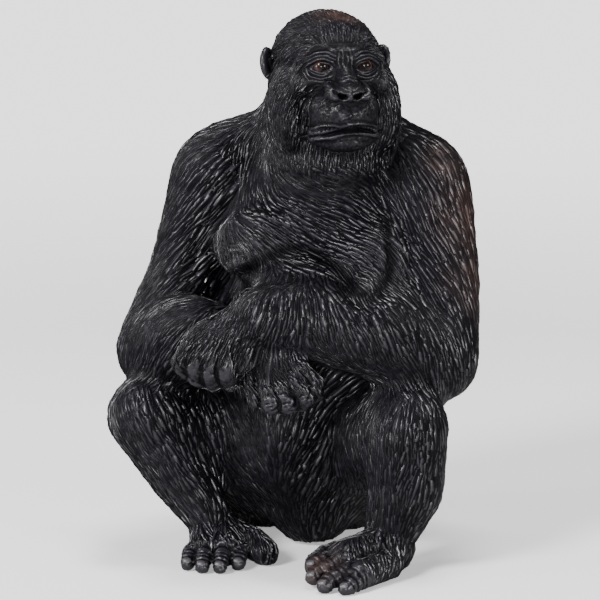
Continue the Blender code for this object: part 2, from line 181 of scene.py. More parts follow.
def chestForms():
    return [
        ball((2.6, 2.6, 44.0), (14.4, 11.2, 13.0)),
        ball((2.3, 6.4, 47.5), (16.4, 8.8, 9.5)),
        limb((2.6, 7.6, 50.5), (12.2, 9.0, 8.0), (1.8, 8.4, 38.0), (13.4, 9.4, 10.0)),
        limb((1.8, 8.4, 38.0), (13.4, 9.4, 10.0), (0.9, 7.6, 29.0), (12.7, 9.3, 6.5)),
        limb((-1.0, 4.5, 56.2), 5.2, (-10.8, 3.5, 53.2), 5.3),
        limb((8.0, 4.0, 55.9), 5.2, (15.0, 2.5, 53.0), 5.3),
        ball((-5.2, -6.4, 43.0), (5.6, 4.2, 5.0), (-14.0, 8.0, 0.0)),
        ball((-5.6, -7.2, 42.2), (4.6, 4.0, 4.2)),                      # the breasts hang a little
        ball((11.0, -6.8, 42.0), (5.2, 4.2, 5.0), (-14.0, -8.0, 0.0)),
        ball((10.2, -7.4, 41.4), (4.4, 4.0, 4.0)),
    ]


def bellyForms():
    return [
        ball((1.2, -0.8, 29.0), (14.0, 12.0, 12.0)),
        ball((-0.6, -0.6, 17.5), (11.5, 11.0, 12.0)),
        limb((-0.8, -6.5, 18.0), 5.8, (1.6, 0.2, 6.7), 6.8),
        limb((-1.0, -12.6, 36.2), 4.2, (13.5, -8.8, 35.4), 4.4),    # fills in behind the forearm
        limb((-1.6, -11.2, 38.6), 3.2, (5.6, -10.8, 38.6), 3.2),
        limb((-1.2, -9.5, 40.2), 2.8, (4.2, -9.3, 40.2), 2.8),    # and up to the fold under the breasts
    ]


def pelvisForms():
    return [
        ball((-0.6, 6.5, 11.0), (13.2, 9.8, 9.8)),
        limb((0.8, 7.4, 26.0), (12.4, 9.2, 10.0), (-0.4, 7.4, 12.0), (13.4, 9.6, 9.8)),
        ball((-6.2, 8.4, 7.8), (7.4, 8.0, 8.2)),
        ball((5.2, 8.4, 7.8), (7.4, 8.0, 8.2)),
    ]


def armForms(side):
    left = side == "left"
    top, middle, low = ((6.2, 5.2, 4.9), (6.7, 6.0, 5.5))[left]
    deltoid = ((6.2, 6.8, 7.0), (6.4, 7.1, 7.5))[left]
    elbow, fore, wrist = ((5.1, 6.0, 3.7), (5.5, 6.1, 3.7))[left]
    at = {joint: pose[joint][side] for joint in ("shoulder", "biceps", "elbow", "forearm", "wrist")}
    return [
        ball(at["shoulder"], deltoid),
        limb(at["shoulder"], top, at["biceps"], middle),
        limb(at["biceps"], middle, at["elbow"], low),
        ball(at["elbow"], elbow),
        limb(at["elbow"], elbow, at["forearm"], fore),
        limb(at["forearm"], fore, at["wrist"], wrist),
    ]


def legForms(side):
    left = side == "left"
    thigh, bend = ((6.8, 5.2), (7.2, 5.6))[left]
    top, middle, ankle = ((5.0, 4.1, 3.0), (5.5, 4.8, 3.4))[left]
    cap = ((5.0, 4.8, 5.4), (5.7, 5.0, 6.0))[left]
    calf = ((3.8, 4.6, 6.0), (4.4, 4.8, 6.2))[left]
    at = {joint: pose[joint][side] for joint in ("hip", "thigh", "knee", "shin", "calf", "ankle")}
    return [
        limb(at["hip"], 8.6, at["thigh"], thigh),
        limb(at["thigh"], thigh, at["knee"], bend),
        ball(at["knee"], cap),
        limb(at["knee"], top, at["shin"], middle),
        limb(at["shin"], middle, at["ankle"], ankle),
        ball(at["calf"], calf),
    ]


leftHand = {
    "knuckle": (-9.3, -21.9, 32.2),
    "fingers": ((-12.9, 29.8), (-11.1, 28.6), (-9.1, 28.0), (-6.9, 28.1)),   # where each one bends
}


def leftHandForms():
    knuckleX, knuckleY, knuckleZ = leftHand["knuckle"]
    forms = [
        limb(pose["wrist"]["left"], 3.3, (-7.6, -20.6, 33.4), 3.0),
        ball((-9.2, -20.4, 32.4), (4.6, 2.7, 3.3), (-10.0, -30.0, 0.0)),
        limb((-4.6, -20.6, 33.0), 1.7, (-4.6, -20.6, 29.4), 1.4),
    ]
    for x, z in leftHand["fingers"]:
        knuckle = (knuckleX + (x + 9.9) * 0.8, knuckleY, knuckleZ)
        middle = (x, knuckleY, z + 0.4)
        forms.append(limb(knuckle, 1.45, middle, 1.3))
        forms.append(limb(middle, 1.3, (x + 0.3, knuckleY + 2.5, z - 1.9), 1.15))
    return forms


rightFingers = (
    ((3.0, 29.2), (5.2, 27.3), (4.8, 25.2)),        # knuckle, bend and tip, as x and z
    ((1.9, 27.4), (3.8, 25.2), (2.8, 23.8)),
    ((0.2, 26.4), (1.4, 24.0), (0.2, 23.4)),
    ((-1.5, 26.2), (-0.9, 23.9), (-1.8, 23.5)),
)


def rightHandForms():
    forms = [
        limb(pose["wrist"]["right"], 3.5, (-2.4, -18.2, 30.8), 2.9),
        ball((-0.4, -18.9, 29.2), (3.5, 2.3, 4.3), (-8.0, -28.0, 0.0)),
        limb((-2.0, -18.5, 31.0), 2.2, (2.2, -19.5, 29.6), 1.7),
        limb((-3.4, -18.2, 29.6), 1.5, (-4.2, -19.2, 26.6), 1.2),
        limb((-4.2, -19.2, 26.6), 1.2, (-3.4, -19.6, 24.0), 1.05),
    ]
    for knuckle, middle, tip in rightFingers:
        knuckleAt = (knuckle[0], -20.4, knuckle[1])
        middleAt = (middle[0], -20.9, middle[1])
        forms.append(limb((knuckle[0] * 0.6 - 0.8, -19.2, knuckle[1] + 1.2), 1.3, knuckleAt, 1.35))
        forms.append(limb(knuckleAt, 1.3, middleAt, 1.2))
        forms.append(limb(middleAt, 1.2, (tip[0], -19.2, tip[1]), 1.05))
    return forms


def toe(root, bend, tip, radius):
    return [limb(root, radius + 0.15, bend, radius), limb(bend, radius, tip, radius - 0.05)]


# each toe's root, bend and tip
rightToes = [((x, -14.6, 2.8), (tipX, tipY + 1.7, 2.4), (tipX, tipY, 1.2))
             for x, tipX, tipY in ((-11.9, -12.9, -18.0), (-10.3, -10.7, -19.2),
                                   (-8.7, -8.3, -19.0), (-7.2, -6.1, -17.0))]
leftToes = [(root, bend, (bend[0] - 0.4, bend[1] - 0.5, bend[2] - 0.35)) for root, bend in (
    ((12.0, -23.9, 1.8), (10.4, -26.3, 1.4)), ((9.9, -23.4, 2.5), (7.4, -25.9, 1.6)),
    ((8.5, -21.9, 3.2), (5.6, -23.8, 2.1)), ((7.5, -20.3, 3.8), (5.3, -21.9, 3.1)))]


def footForms():
    forms = [
        ball((-10.6, -8.6, 3.0), (3.0, 3.8, 3.0)),
        limb((-11.2, -10.8, 4.2), 2.8, (-11.0, -15.0, 2.7), 2.3),
        limb((-9.0, -10.8, 4.0), 2.9, (-8.0, -15.0, 2.6), 2.3),
        limb((-8.5, -9.6, 3.4), 2.6, (-5.0, -11.8, 2.9), 2.3),
        limb((-5.0, -11.8, 2.9), 2.3, (-3.0, -13.5, 2.1), 2.1),
        ball((14.6, -13.9, 3.2), (3.3, 3.6, 3.2)),
        limb((13.8, -15.8, 4.0), 3.1, (8.8, -20.2, 3.4), 2.7),
        limb((14.4, -18.0, 2.5), 2.5, (11.4, -23.8, 2.1), 2.0),
        limb((9.5, -17.2, 3.4), 2.3, (6.2, -18.0, 2.8), 2.0),
        limb((6.2, -18.0, 2.8), 2.0, (4.9, -19.2, 2.1), 1.8),
    ]
    for root, bend, tip in rightToes:
        forms += toe(root, bend, tip, 1.1)
    for root, bend, tip in leftToes:
        forms += toe(root, bend, tip, 1.18)
    for form in forms:
        for centre, _, _ in form:
            centre.z -= pose["footSink"]
    return forms


def meshOf(work, name):
    mesh = bpy.data.meshes.new(name)
    work.to_mesh(mesh)
    work.free()
    return mesh


def addBall(work, centre, radii, turn):
    place = Matrix.LocRotScale(centre, turn, radii)
    bmesh.ops.create_icosphere(work, subdivisions=3, radius=1.0, matrix=place)


def shellOf(form):
    # a form's ball, or the hull round its two
    work = bmesh.new()
    for end in form:
        addBall(work, *end)
    if len(form) > 1:
        bmesh.ops.delete(work, geom=list(work.edges), context="EDGES_FACES")
        bmesh.ops.convex_hull(work, input=list(work.verts), use_existing_faces=False)
        loose = [vert for vert in work.verts if not vert.link_faces]
        bmesh.ops.delete(work, geom=loose, context="VERTS")
    bmesh.ops.recalc_face_normals(work, faces=work.faces)
    return meshOf(work, "shell")


def joinMeshes(name, meshes):
    whole = bmesh.new()
    for mesh in meshes:
        whole.from_mesh(mesh)
        bpy.data.meshes.remove(mesh)
    return meshOf(whole, name)


def newObject(name, mesh):
    piece = bpy.data.objects.new(name, mesh)
    bpy.context.scene.collection.objects.link(piece)
    return piece


def applyModifiers(piece):
    graph = bpy.context.evaluated_depsgraph_get()
    mesh = bpy.data.meshes.new_from_object(piece.evaluated_get(graph))
    old = piece.data
    piece.modifiers.clear()
    piece.data = mesh
    mesh.name = piece.name
    bpy.data.meshes.remove(old)


def fuse(piece, voxel, passes):
    remesh = piece.modifiers.new("fuse", "REMESH")
    remesh.mode = "VOXEL"
    remesh.voxel_size = voxel
    soften = piece.modifiers.new("soften", "SMOOTH")
    soften.factor = 0.5
    soften.iterations = passes
    applyModifiers(piece)


skinMake = {
    "trunkVoxel": 0.6, "trunkPasses": 45, "trunkGrow": 0.45,   # softened as the solids are
    "headVoxel": 0.3, "headPasses": 9, "headGrow": 0.1,
    "voxel": 0.19, "passes": 7,
    "triangles": 190000,
    "keep": 3.0,                        # how strongly bare skin keeps its triangles
    "crestPasses": 7, "crestHeight": 0.09,
}


def bodyMesh():
    trunk = neckForms() + chestForms() + bellyForms() + pelvisForms()
    ends = leftHandForms() + rightHandForms() + footForms()
    for side in ("right", "left"):
        trunk += armForms(side) + legForms(side)
        ends += earForms(side)
    make = skinMake
    meshes = []
    for name, forms, voxel, passes in (
        ("trunk", grown(trunk, make["trunkGrow"]), make["trunkVoxel"], make["trunkPasses"]),
        ("skull", grown(headForms(), make["headGrow"]), make["headVoxel"], make["headPasses"]),
    ):
        group = newObject(name, joinMeshes(name, [shellOf(form) for form in forms]))
        fuse(group, voxel, passes)
        meshes.append(group.data.copy())
        bpy.data.objects.remove(group)
    meshes += [shellOf(form) for form in ends]
    body = newObject("body_skin", joinMeshes("body_skin", meshes))
    fuse(body, make["voxel"], make["passes"])
    return body


def pointsOf(mesh):
    points = np.empty(len(mesh.vertices) * 3, np.float32)
    mesh.vertices.foreach_get("co", points)
    return points.reshape(-1, 3).astype(float)


def normalsOf(mesh):
    normals = np.empty(len(mesh.vertices) * 3, np.float32)
    mesh.vertex_normals.foreach_get("vector", normals)
    return normals.reshape(-1, 3).astype(float)


def setPoints(mesh, points):
    mesh.vertices.foreach_set("co", points.astype(np.float32).ravel())
    mesh.update()


def unit(vectors):
    return vectors / np.maximum(np.linalg.norm(vectors, axis=-1, keepdims=True), 1e-9)


def smoothStep(value, low, high):
    t = np.clip((value - low) / (high - low), 0.0, 1.0)
    return t * t * (3.0 - 2.0 * t)


def hashed(cells, seed):
    # an even scatter of values between -1 and 1, one for each cell
    x, y, z = (cells[..., axis] for axis in range(3))
    mixed = (x * 73856093) ^ (y * 19349663) ^ (z * 83492791) ^ (seed * 2654435)
    mixed = (mixed ^ (mixed >> 13)) * 1274126177
    return ((mixed ^ (mixed >> 16)) & 0xFFFF) / 32767.5 - 1.0


def noise(points, size, seed):
    # smooth lattice noise between -1 and 1
    scaled = points / size
    low = np.floor(scaled).astype(np.int64)
    t = scaled - low
    t = t * t * (3.0 - 2.0 * t)
    total = 0.0
    for corner in range(8):
        step = np.array((corner & 1, corner >> 1 & 1, corner >> 2 & 1))
        weight = np.prod(np.where(step, t, 1.0 - t), axis=-1)
        total = total + weight * hashed(low + step, seed)
    return total


def curvePoints(knots, spacing=0.12):
    # a smooth curve through the knots, as evenly spaced points
    knots = np.array(knots, float)
    padded = np.vstack((2 * knots[0] - knots[1], knots, 2 * knots[-1] - knots[-2]))
    curve = []
    for i in range(len(knots) - 1):
        a, b, c, d = padded[i:i + 4]
        steps = max(2, int(np.linalg.norm(c - b) / spacing))
        for t in np.arange(steps) / steps:
            curve.append(0.5 * (2 * b + (c - a) * t + (2 * a - 5 * b + 4 * c - d) * t ** 2
                                + (3 * b - a - 3 * c + d) * t ** 3))
    curve.append(knots[-1])
    return np.array(curve)


class Clay:
    # the skin's points while it is being shaped
    def __init__(self, mesh):
        self.mesh = mesh
        self.refresh()

    def refresh(self):
        self.points = pointsOf(self.mesh)
        self.normals = normalsOf(self.mesh)
        self.move = np.zeros_like(self.points)
        self.head = headFrame(self.points)
        facing = (self.normals @ np.array(headSpin))[:, 1] < 0.35
        front = (self.head[:, 1] < -3.5) & (self.head[:, 2] > -12.5) & facing
        self.face = np.nonzero(front & (np.abs(self.head[:, 0]) < 8.5) & (self.points[:, 2] > 53.0))[0]

    def settle(self):
        setPoints(self.mesh, self.points + self.move)
        self.refresh()

    def along(self, which, amount):
        self.move[which] += self.normals[which] * amount[:, None]

    def draw(self, which, flat, knots, width, height, fade=0.5):
        # a ridge (or with a negative height a groove) along a curve seen from in front
        curve = curvePoints(knots)
        reach = 3.0 * width
        near = np.all((flat > curve.min(0) - reach) & (flat < curve.max(0) + reach), axis=1)
        gaps = np.linalg.norm(flat[near][:, None, :] - curve[None], axis=2)
        t = gaps.argmin(1) / (len(curve) - 1)
        taper = np.sin(np.pi * np.clip(t, 0.02, 0.98)) ** fade
        self.along(which[near], height * taper * np.exp(-(gaps.min(1) / width) ** 2))

    def stroke(self, knots, width, height, fade=0.5):
        self.draw(self.face, self.head[self.face][:, (0, 2)], knots, width, height, fade)

    def mirrored(self, knots, width, height, fade=0.5):
        for side in (-1.0, 1.0):
            self.stroke([(side * x, z) for x, z in knots], width, height, fade)

    def press(self, centre, radii, depth, straight=False):
        # an oval pushed in or out, drawn on the face from in front
        flat = self.head[self.face][:, (0, 2)]
        far = (((flat - centre) / radii) ** 2).sum(1)
        near = far < 4.0
        amount = depth * np.exp(-far[near] ** 1.5)
        which = self.face[near]
        if straight:
            self.move[which] += np.array(headSpin)[:, 1] * amount[:, None]
        else:
            self.along(which, -amount)

    def ring(self, centre, axis, radius, width, height):
        # a fold across a finger or toe
        offset = self.points - np.array(centre)
        which = np.nonzero((offset ** 2).sum(1) < (radius * 1.6) ** 2)[0]
        offset = offset[which]
        axis = np.array(axis) / np.linalg.norm(axis)
        near = 1.0 - smoothStep(np.linalg.norm(offset, axis=1), radius, radius * 1.5)
        self.along(which, height * near * np.exp(-(offset @ axis / width) ** 2))

    def rings(self, start, end, radius, width, folds):
        start, end = np.array(start), np.array(end)
        for t, height in folds:
            self.ring(start + (end - start) * t, end - start, radius, width, height)

    def grain(self, weight, size, height, seed):
        which = np.nonzero(weight > 0.01)[0]
        bumps = noise(self.points[which], size, seed)
        self.along(which, height * weight[which] * bumps)


def blobs(points, table):
    # how far inside the softened eggs of a table each point lies, from 0 to 1
    most = np.zeros(len(points))
    for centre, radii in table:
        far = np.linalg.norm((points - np.array(centre)) / np.array(radii), axis=1)
        most = np.maximum(most, 1.0 - smoothStep(far, 0.86, 1.12))
    return most


bareSkin = {
    # on the head: round the eyes, the muzzle, the mouth
    "face": (((0.0, -9.0, 0.8), (5.5, 4.5, 3.3)), ((0.0, -10.0, -5.0), (4.9, 6.2, 5.1)),
             ((0.0, -9.5, -7.6), (6.0, 6.2, 2.6))),
    "ears": (((-8.9, 0.5, 0.6), (1.9, 2.6, 3.0)), ((8.6, 0.5, 0.6), (1.9, 2.6, 3.0))),
    "hands": (((-9.8, -21.5, 28.5), (5.0, 4.5, 3.2)), ((1.6, -20.8, 24.6), (5.6, 3.4, 2.5))),
    "feet": (((-8.6, -17.4, 1.2), (6.4, 4.8, 3.2)), ((7.8, -23.8, 1.4), (5.8, 5.0, 3.2))),
    "soles": (((0.0, 0.0, -6.0), (60.0, 60.0, 6.9)),),
}


# where the coat is thin: on the breasts, and between and above them
fineCoat = (((2.3, -10.0, 45.0), (12.5, 7.0, 5.2)),)
breasts = (((-5.4, -10.0, 42.6), (5.8, 4.8, 6.2)), ((10.4, -11.0, 41.4), (5.0, 4.6, 4.8)))
# and round the face, on the head
fineFace = (((0.0, -9.0, -3.5), (8.4, 7.0, 8.4)),)


def bareness(points):
    head = headFrame(points)
    most = np.maximum(blobs(head, bareSkin["face"]) * (head[:, 1] < -4.0), blobs(head, bareSkin["ears"]))
    for area in ("hands", "feet", "soles"):
        most = np.maximum(most, blobs(points, bareSkin[area]))
    return most


# the face's lines: knots as (sideways, up) on the head, width, height
browLines = (
    ([(1.3, 3.55), (2.3, 4.0), (3.6, 3.95), (5.2, 3.1)], 0.42, 0.34),
    ([(1.5, 2.75), (2.5, 3.15), (3.8, 3.0), (5.3, 2.1)], 0.17, 0.26),
    ([(1.4, 2.2), (2.4, 2.68), (3.6, 2.6), (4.9, 2.0), (5.6, 1.3)], 0.16, 0.26),
    ([(1.45, 1.45), (1.9, 1.95), (2.7, 2.28), (3.6, 2.15), (4.6, 1.55), (5.3, 0.95)], 0.18, 0.34),
    ([(1.5, 1.2), (2.0, 1.7), (2.8, 1.98), (3.6, 1.88), (4.5, 1.35)], 0.12, -0.28),
    ([(1.5, 3.15), (2.5, 3.55), (3.8, 3.45), (5.2, 2.6)], 0.14, -0.22),
    ([(1.5, 2.45), (2.4, 2.92), (3.7, 2.8), (5.0, 2.1)], 0.11, -0.2),
)
bagLines = (
    ([(1.75, 0.75), (2.4, 0.42), (3.2, 0.4), (4.0, 0.62), (4.5, 1.0)], 0.14, 0.2),
    ([(1.9, 0.3), (2.5, 0.1), (3.2, 0.0), (4.1, 0.28), (4.9, 0.9)], 0.13, 0.17),
    ([(1.6, 0.1), (2.3, -0.25), (3.3, -0.42), (4.5, -0.1), (5.3, 0.5)], 0.15, 0.15),
    ([(1.9, -0.55), (2.6, -0.75), (3.5, -0.78), (4.3, -0.6)], 0.14, 0.1),
    ([(2.0, 0.18), (2.7, -0.12), (3.4, -0.14), (4.3, 0.2)], 0.1, -0.14),
    ([(2.1, -0.3), (2.7, -0.52), (3.5, -0.55), (4.3, -0.25)], 0.1, -0.12),
    ([(4.7, 1.9), (5.0, 1.2), (4.8, 0.4), (4.3, -0.3)], 0.15, 0.16),
    ([(5.3, 1.9), (5.55, 1.1), (5.3, 0.2), (4.8, -0.6)], 0.15, 0.14),
)
cheekLines = (
    ([(3.6, -1.3), (4.3, -1.9), (5.0, -2.8)], 0.15, 0.22),
    ([(3.5, -1.9), (4.2, -2.5), (5.0, -3.4)], 0.15, 0.24),
    ([(3.6, -2.6), (4.2, -3.1), (5.0, -4.1)], 0.15, 0.22),
    ([(3.9, -3.4), (4.4, -3.9), (4.9, -4.7)], 0.15, 0.18),
    ([(1.0, -3.1), (1.7, -3.7), (2.6, -4.3)], 0.3, 0.1),
    ([(2.9, -1.0), (3.3, -2.2), (2.9, -3.4), (3.2, -4.8)], 0.3, -0.22),
)
lipLines = (
    ([(-5.4, -8.2), (-4.4, -7.1), (-3.5, -6.4), (-2.3, -6.1), (-1.3, -6.2), (-0.3, -5.9), (0.9, -5.8),
      (2.5, -6.1), (4.1, -6.9), (5.5, -8.0)], 0.17, 0.34),
    ([(-5.6, -8.4), (-4.2, -7.8), (-2.6, -7.5), (-0.7, -6.95), (0.9, -6.85), (2.3, -7.15), (3.9, -7.5),
      (5.7, -8.2)], 0.2, -0.7),
    ([(-4.2, -8.25), (-2.4, -7.95), (-0.7, -7.5), (0.9, -7.4), (2.6, -7.65), (4.3, -8.1)], 0.24, 0.32),
    ([(-3.4, -8.8), (-1.2, -8.4), (1.2, -8.35), (3.4, -8.8)], 0.3, -0.1),
)


# furrows over the nose: place sideways, top and bottom
frownLines = ((-0.75, 3.1, 1.2), (-0.25, 3.5, 0.9), (0.3, 3.0, 1.6), (0.7, 3.4, 0.5))
nostrilLines = (
    ([(1.2, -2.4), (1.8, -2.1), (2.2, -1.6), (2.1, -1.2)], 0.19, -0.6),
    ([(0.5, -1.45), (1.2, -1.1), (2.0, -0.8), (2.65, -1.3), (2.6, -2.1), (1.9, -2.85)], 0.26, 0.36),
)
noseLines = (
    ([(-0.1, -1.5), (-0.1, -3.0)], 0.24, 0.2),
    ([(-0.1, -3.2), (-0.1, -5.2)], 0.4, -0.12),
)
# ovals pushed in, or with a negative depth out: place, radii, depth
pairedOvals = (
    ((3.0, 1.2), (1.9, 1.1), 0.4),                  # eye sockets
    ((1.95, -2.0), (1.0, 0.8), -0.55),              # wings of the nose
    ((4.3, -4.4), (1.5, 2.4), 0.35),                # cheeks
    ((3.2, -6.0), (1.6, 1.6), 0.25),
    ((3.4, -9.2), (1.5, 1.4), 0.35),
)
middleOvals = (
    ((0.0, 1.0), (0.9, 1.3), 0.15),                 # bridge
    ((0.0, -2.2), (1.2, 0.9), -0.25),
    ((0.0, -6.9), (4.2, 0.9), 0.3),                 # upper lip
)
nostrils = ((0.95, -2.35, (0.5, 0.32), 1.7), (1.45, -2.1, (0.3, 0.3), 0.9))
faceLook = {
    "noseAside": 0.1,                               # the nostrils lean this far to one side
    "lid": (1.6, 1.05), "lidRise": 0.42,
    "slit": (0.82, 0.33), "slitDrop": 0.02, "slitDepth": 1.6,
    "lipCreases": 15, "lipSpacing": 0.5, "lipArch": 0.055,
    "stubble": 26, "stubbleWide": 5.2, "stubbleTall": 1.9,
}


def shapeFace(clay):
    look = faceLook
    eyeX, eyeZ = pose["eye"].x, pose["eye"].z
    sides = (-1.0, 1.0)
    for side in sides:
        for (x, z), radii, depth in pairedOvals:
            clay.press((side * x, z), radii, depth)
    for place, radii, depth in middleOvals:
        clay.press(place, radii, depth)
    clay.settle()
    for side in sides:
        clay.press((side * eyeX, eyeZ), look["lid"], -look["lidRise"])
    clay.settle()
    for knots, width, height in browLines + bagLines + cheekLines:
        clay.mirrored(knots, width, height)
    for knots, width, height in lipLines:
        clay.stroke(knots, width, height, 0.3)
    # the slits between the lids, which show the eyeballs, and nostrils like commas
    for side in sides:
        clay.press((side * eyeX, eyeZ - look["slitDrop"]), look["slit"], look["slitDepth"], straight=True)
    for side in sides:
        for x, z, radii, depth in nostrils:
            clay.press((side * x - look["noseAside"], z), radii, depth, straight=True)
    for knots, width, height in nostrilLines:
        clay.mirrored(knots, width, height)
    for knots, width, height in noseLines:
        clay.stroke(knots, width, height)
    for x, top, bottom in frownLines:
        clay.stroke([(x, top), (x * 1.3, (top + bottom) / 2), (x, bottom)], 0.12, 0.09)
    for z in (0.1, -0.3, -0.7):
        clay.stroke([(-1.1, z - 0.15), (0.0, z + 0.1), (1.1, z - 0.15)], 0.12, 0.12)
    # short creases across both lips, and stubble above them
    for i in range(look["lipCreases"]):
        x = -3.5 + look["lipSpacing"] * i
        rise = look["lipArch"] * x * x
        clay.stroke([(x, -6.25 - rise), (x * 1.03, -6.75 - rise)], 0.1, -0.14)
    for i in range(look["stubble"]):
        x = -2.6 + look["stubbleWide"] * ((i * 0.618) % 1.0)
        z = -3.6 - look["stubbleTall"] * ((i * 0.382 + 0.2) % 1.0)
        clay.stroke([(x, z), (x + 0.22 * (1 if x < 0 else -1), z + 0.35)], 0.1, 0.08)
    clay.settle()


def shapeEars(clay):
    # a bowl with a raised rim on the side of each ear that looks forward
    for side, sign in (("right", -1.0), ("left", 1.0)):
        centre, radii, turn = earForms(side)[0][0]
        spin = np.array(turn.to_matrix())
        local = (clay.points - np.array(centre)) @ spin
        facing = -sign * (clay.normals @ spin)[:, 0]
        near = (np.abs(local[:, 0]) < 1.6) & (np.abs(local[:, 1]) < 2.4) & (np.abs(local[:, 2]) < 3.0)
        which = np.nonzero(near & (facing > -0.2) & (clay.head[:, 0] * sign > 6.6))[0]
        r = np.hypot(local[which, 1] / radii.y, local[which, 2] / radii.z)
        clay.along(which, 0.2 * np.exp(-((r - 0.92) / 0.16) ** 2) - 0.8 * np.exp(-(r / 0.55) ** 3))
        clay.along(which, 0.16 * np.exp(-((r - 0.5) / 0.12) ** 2) * (local[which, 2] > -0.4))
    clay.settle()


# the folds under the breasts and beside the left one, as sideways and up, with depth
creases = (
    ([(-9.6, 39.8), (-8.2, 38.9), (-6.1, 39.9), (-3.6, 41.7), (-0.8, 43.1), (1.3, 43.5)], 0.45),
    ([(1.3, 43.5), (4.1, 42.8), (6.9, 41.0), (9.7, 38.9), (11.8, 38.3), (13.4, 39.4)], 0.45),
    ([(13.0, 46.4), (13.6, 44.0), (13.9, 41.5), (13.5, 39.4)], 0.7),
)


# how wide the creases are carved, and how far the painted shade along them reaches
creaseWidth = {"carved": 0.6, "dark": 0.72}


def inCrease(points):
    # 1 in the middle of a crease and 0 well away from it: it paints shade into the colour of the skin and
    # the locks there, and thins the locks
    front = np.nonzero((points[:, 1] < -4.0) & (points[:, 2] > 36.0) & (points[:, 2] < 49.0))[0]
    most = np.zeros(len(points))
    for knots, _ in creases:
        gaps = np.linalg.norm(points[front][:, None, (0, 2)] - curvePoints(knots)[None], axis=2).min(1)
        most[front] = np.maximum(most[front], np.exp(-(gaps / creaseWidth["dark"]) ** 2))
    return most


# how high the fold runs, by the place sideways
foldSide = (-9.6, -8.2, -6.1, -3.6, -0.8, 1.3, 4.1, 6.9, 9.7, 11.8, 13.5)
foldLevel = (39.6, 38.9, 39.9, 41.7, 43.1, 43.5, 42.8, 41.0, 38.9, 38.3, 39.4)


def shapeBody(clay):
    points = clay.points
    front = np.nonzero((points[:, 1] < -3.0) & (points[:, 2] > 33.0) & (points[:, 2] < 50.0)
                       & (clay.normals[:, 1] < 0.2) & (points[:, 0] > -12.0) & (points[:, 0] < 16.0))[0]
    flat = points[front][:, (0, 2)]
    for knots, depth in creases:
        clay.draw(front, flat, knots, creaseWidth["carved"], -depth, 0.4)
    # the breasts stand out over the fold
    above = flat[:, 1] - np.interp(flat[:, 0], foldSide, foldLevel)
    lobes = np.exp(-((flat[:, 0] + 6.2) / 3.8) ** 2) + 1.5 * np.exp(-((flat[:, 0] - 10.2) / 3.2) ** 2)
    clay.along(front, lobes * 0.7 * smoothStep(above, -0.8, 1.6) * (1.0 - smoothStep(above, 1.5, 7.5)))
    clay.along(front, -0.7 * (0.25 + 0.65 * lobes) * np.exp(-((above + 0.8) / 1.0) ** 2))
    clay.along(front, -1.1 * np.exp(-((flat[:, 0] + 7.2) / 2.4) ** 2 - ((flat[:, 1] - 35.6) / 1.6) ** 2))
    # fine lines on them, roughly level, and the nipples
    weight = smoothStep(above, 0.3, 1.0) * (1.0 - smoothStep(above, 4.5, 7.0))
    ripple = noise(points[front], 2.4, 21) * 0.5 + noise(points[front] * (1.0, 1.0, 3.0), 1.1, 22) * 0.22
    height = flat[:, 1] * 0.75 + above * 0.25 + ripple
    clay.along(front, weight * 0.04 * np.sin(height * 2 * math.pi / 0.62))
    for centre, radius, height in (((-7.0, 41.2), 0.8, 0.3), ((11.4, 40.4), 0.7, 0.25)):
        far = np.linalg.norm(flat - np.array(centre), axis=1) / radius
        clay.along(front, height * np.exp(-far ** 2) - 0.12 * np.exp(-((far - 1.9) / 0.4) ** 2))
    clay.settle()


handLines = (
    # between the left hand's fingers, then along its outer edge
    ([(-12.0, 31.2), (-12.2, 29.3), (-11.8, 27.2)], 0.22, -0.18),
    ([(-10.4, 31.4), (-10.0, 29.0), (-9.9, 26.8)], 0.22, -0.18),
    ([(-8.0, 31.2), (-8.1, 29.0), (-7.8, 26.6)], 0.22, -0.18),
    ([(-5.8, 32.4), (-5.6, 30.4), (-5.7, 28.2)], 0.24, -0.36),
    ([(-14.3, 30.6), (-13.6, 28.7), (-11.9, 27.1), (-9.6, 25.9)], 0.22, 0.4),
    ([(-13.6, 30.9), (-13.0, 29.3), (-11.6, 27.9)], 0.18, -0.3),
    # between the right hand's fingers
    ([(2.6, 29.0), (4.4, 26.6), (4.0, 24.6)], 0.22, -0.45),
    ([(1.2, 27.2), (2.6, 24.8), (1.7, 23.6)], 0.22, -0.45),
    ([(-0.6, 26.4), (0.3, 24.2), (-0.7, 23.4)], 0.22, -0.45),
    ([(-2.9, 26.4), (-2.4, 24.6), (-2.8, 23.4)], 0.22, -0.4),
)


bigToes = (((-5.0, -11.8, 2.6), (-3.0, -13.5, 1.8)), ((9.5, -17.2, 3.0), (5.6, -18.6, 2.2)))
# folds across the toes: how far along, and height
toeFolds = {
    "big": ((-0.2, -0.112), (0.0, 0.08), (0.25, -0.112), (0.5, 0.064), (0.72, -0.096), (0.95, 0.048)),
    "root": ((0.3, -0.12), (0.5, -0.12), (0.68, 0.08), (0.86, -0.13), (1.05, 0.1)),
    "tip": ((0.2, -0.11), (0.45, -0.12), (0.6, 0.06), (0.78, -0.09), (1.15, -0.08)),
}


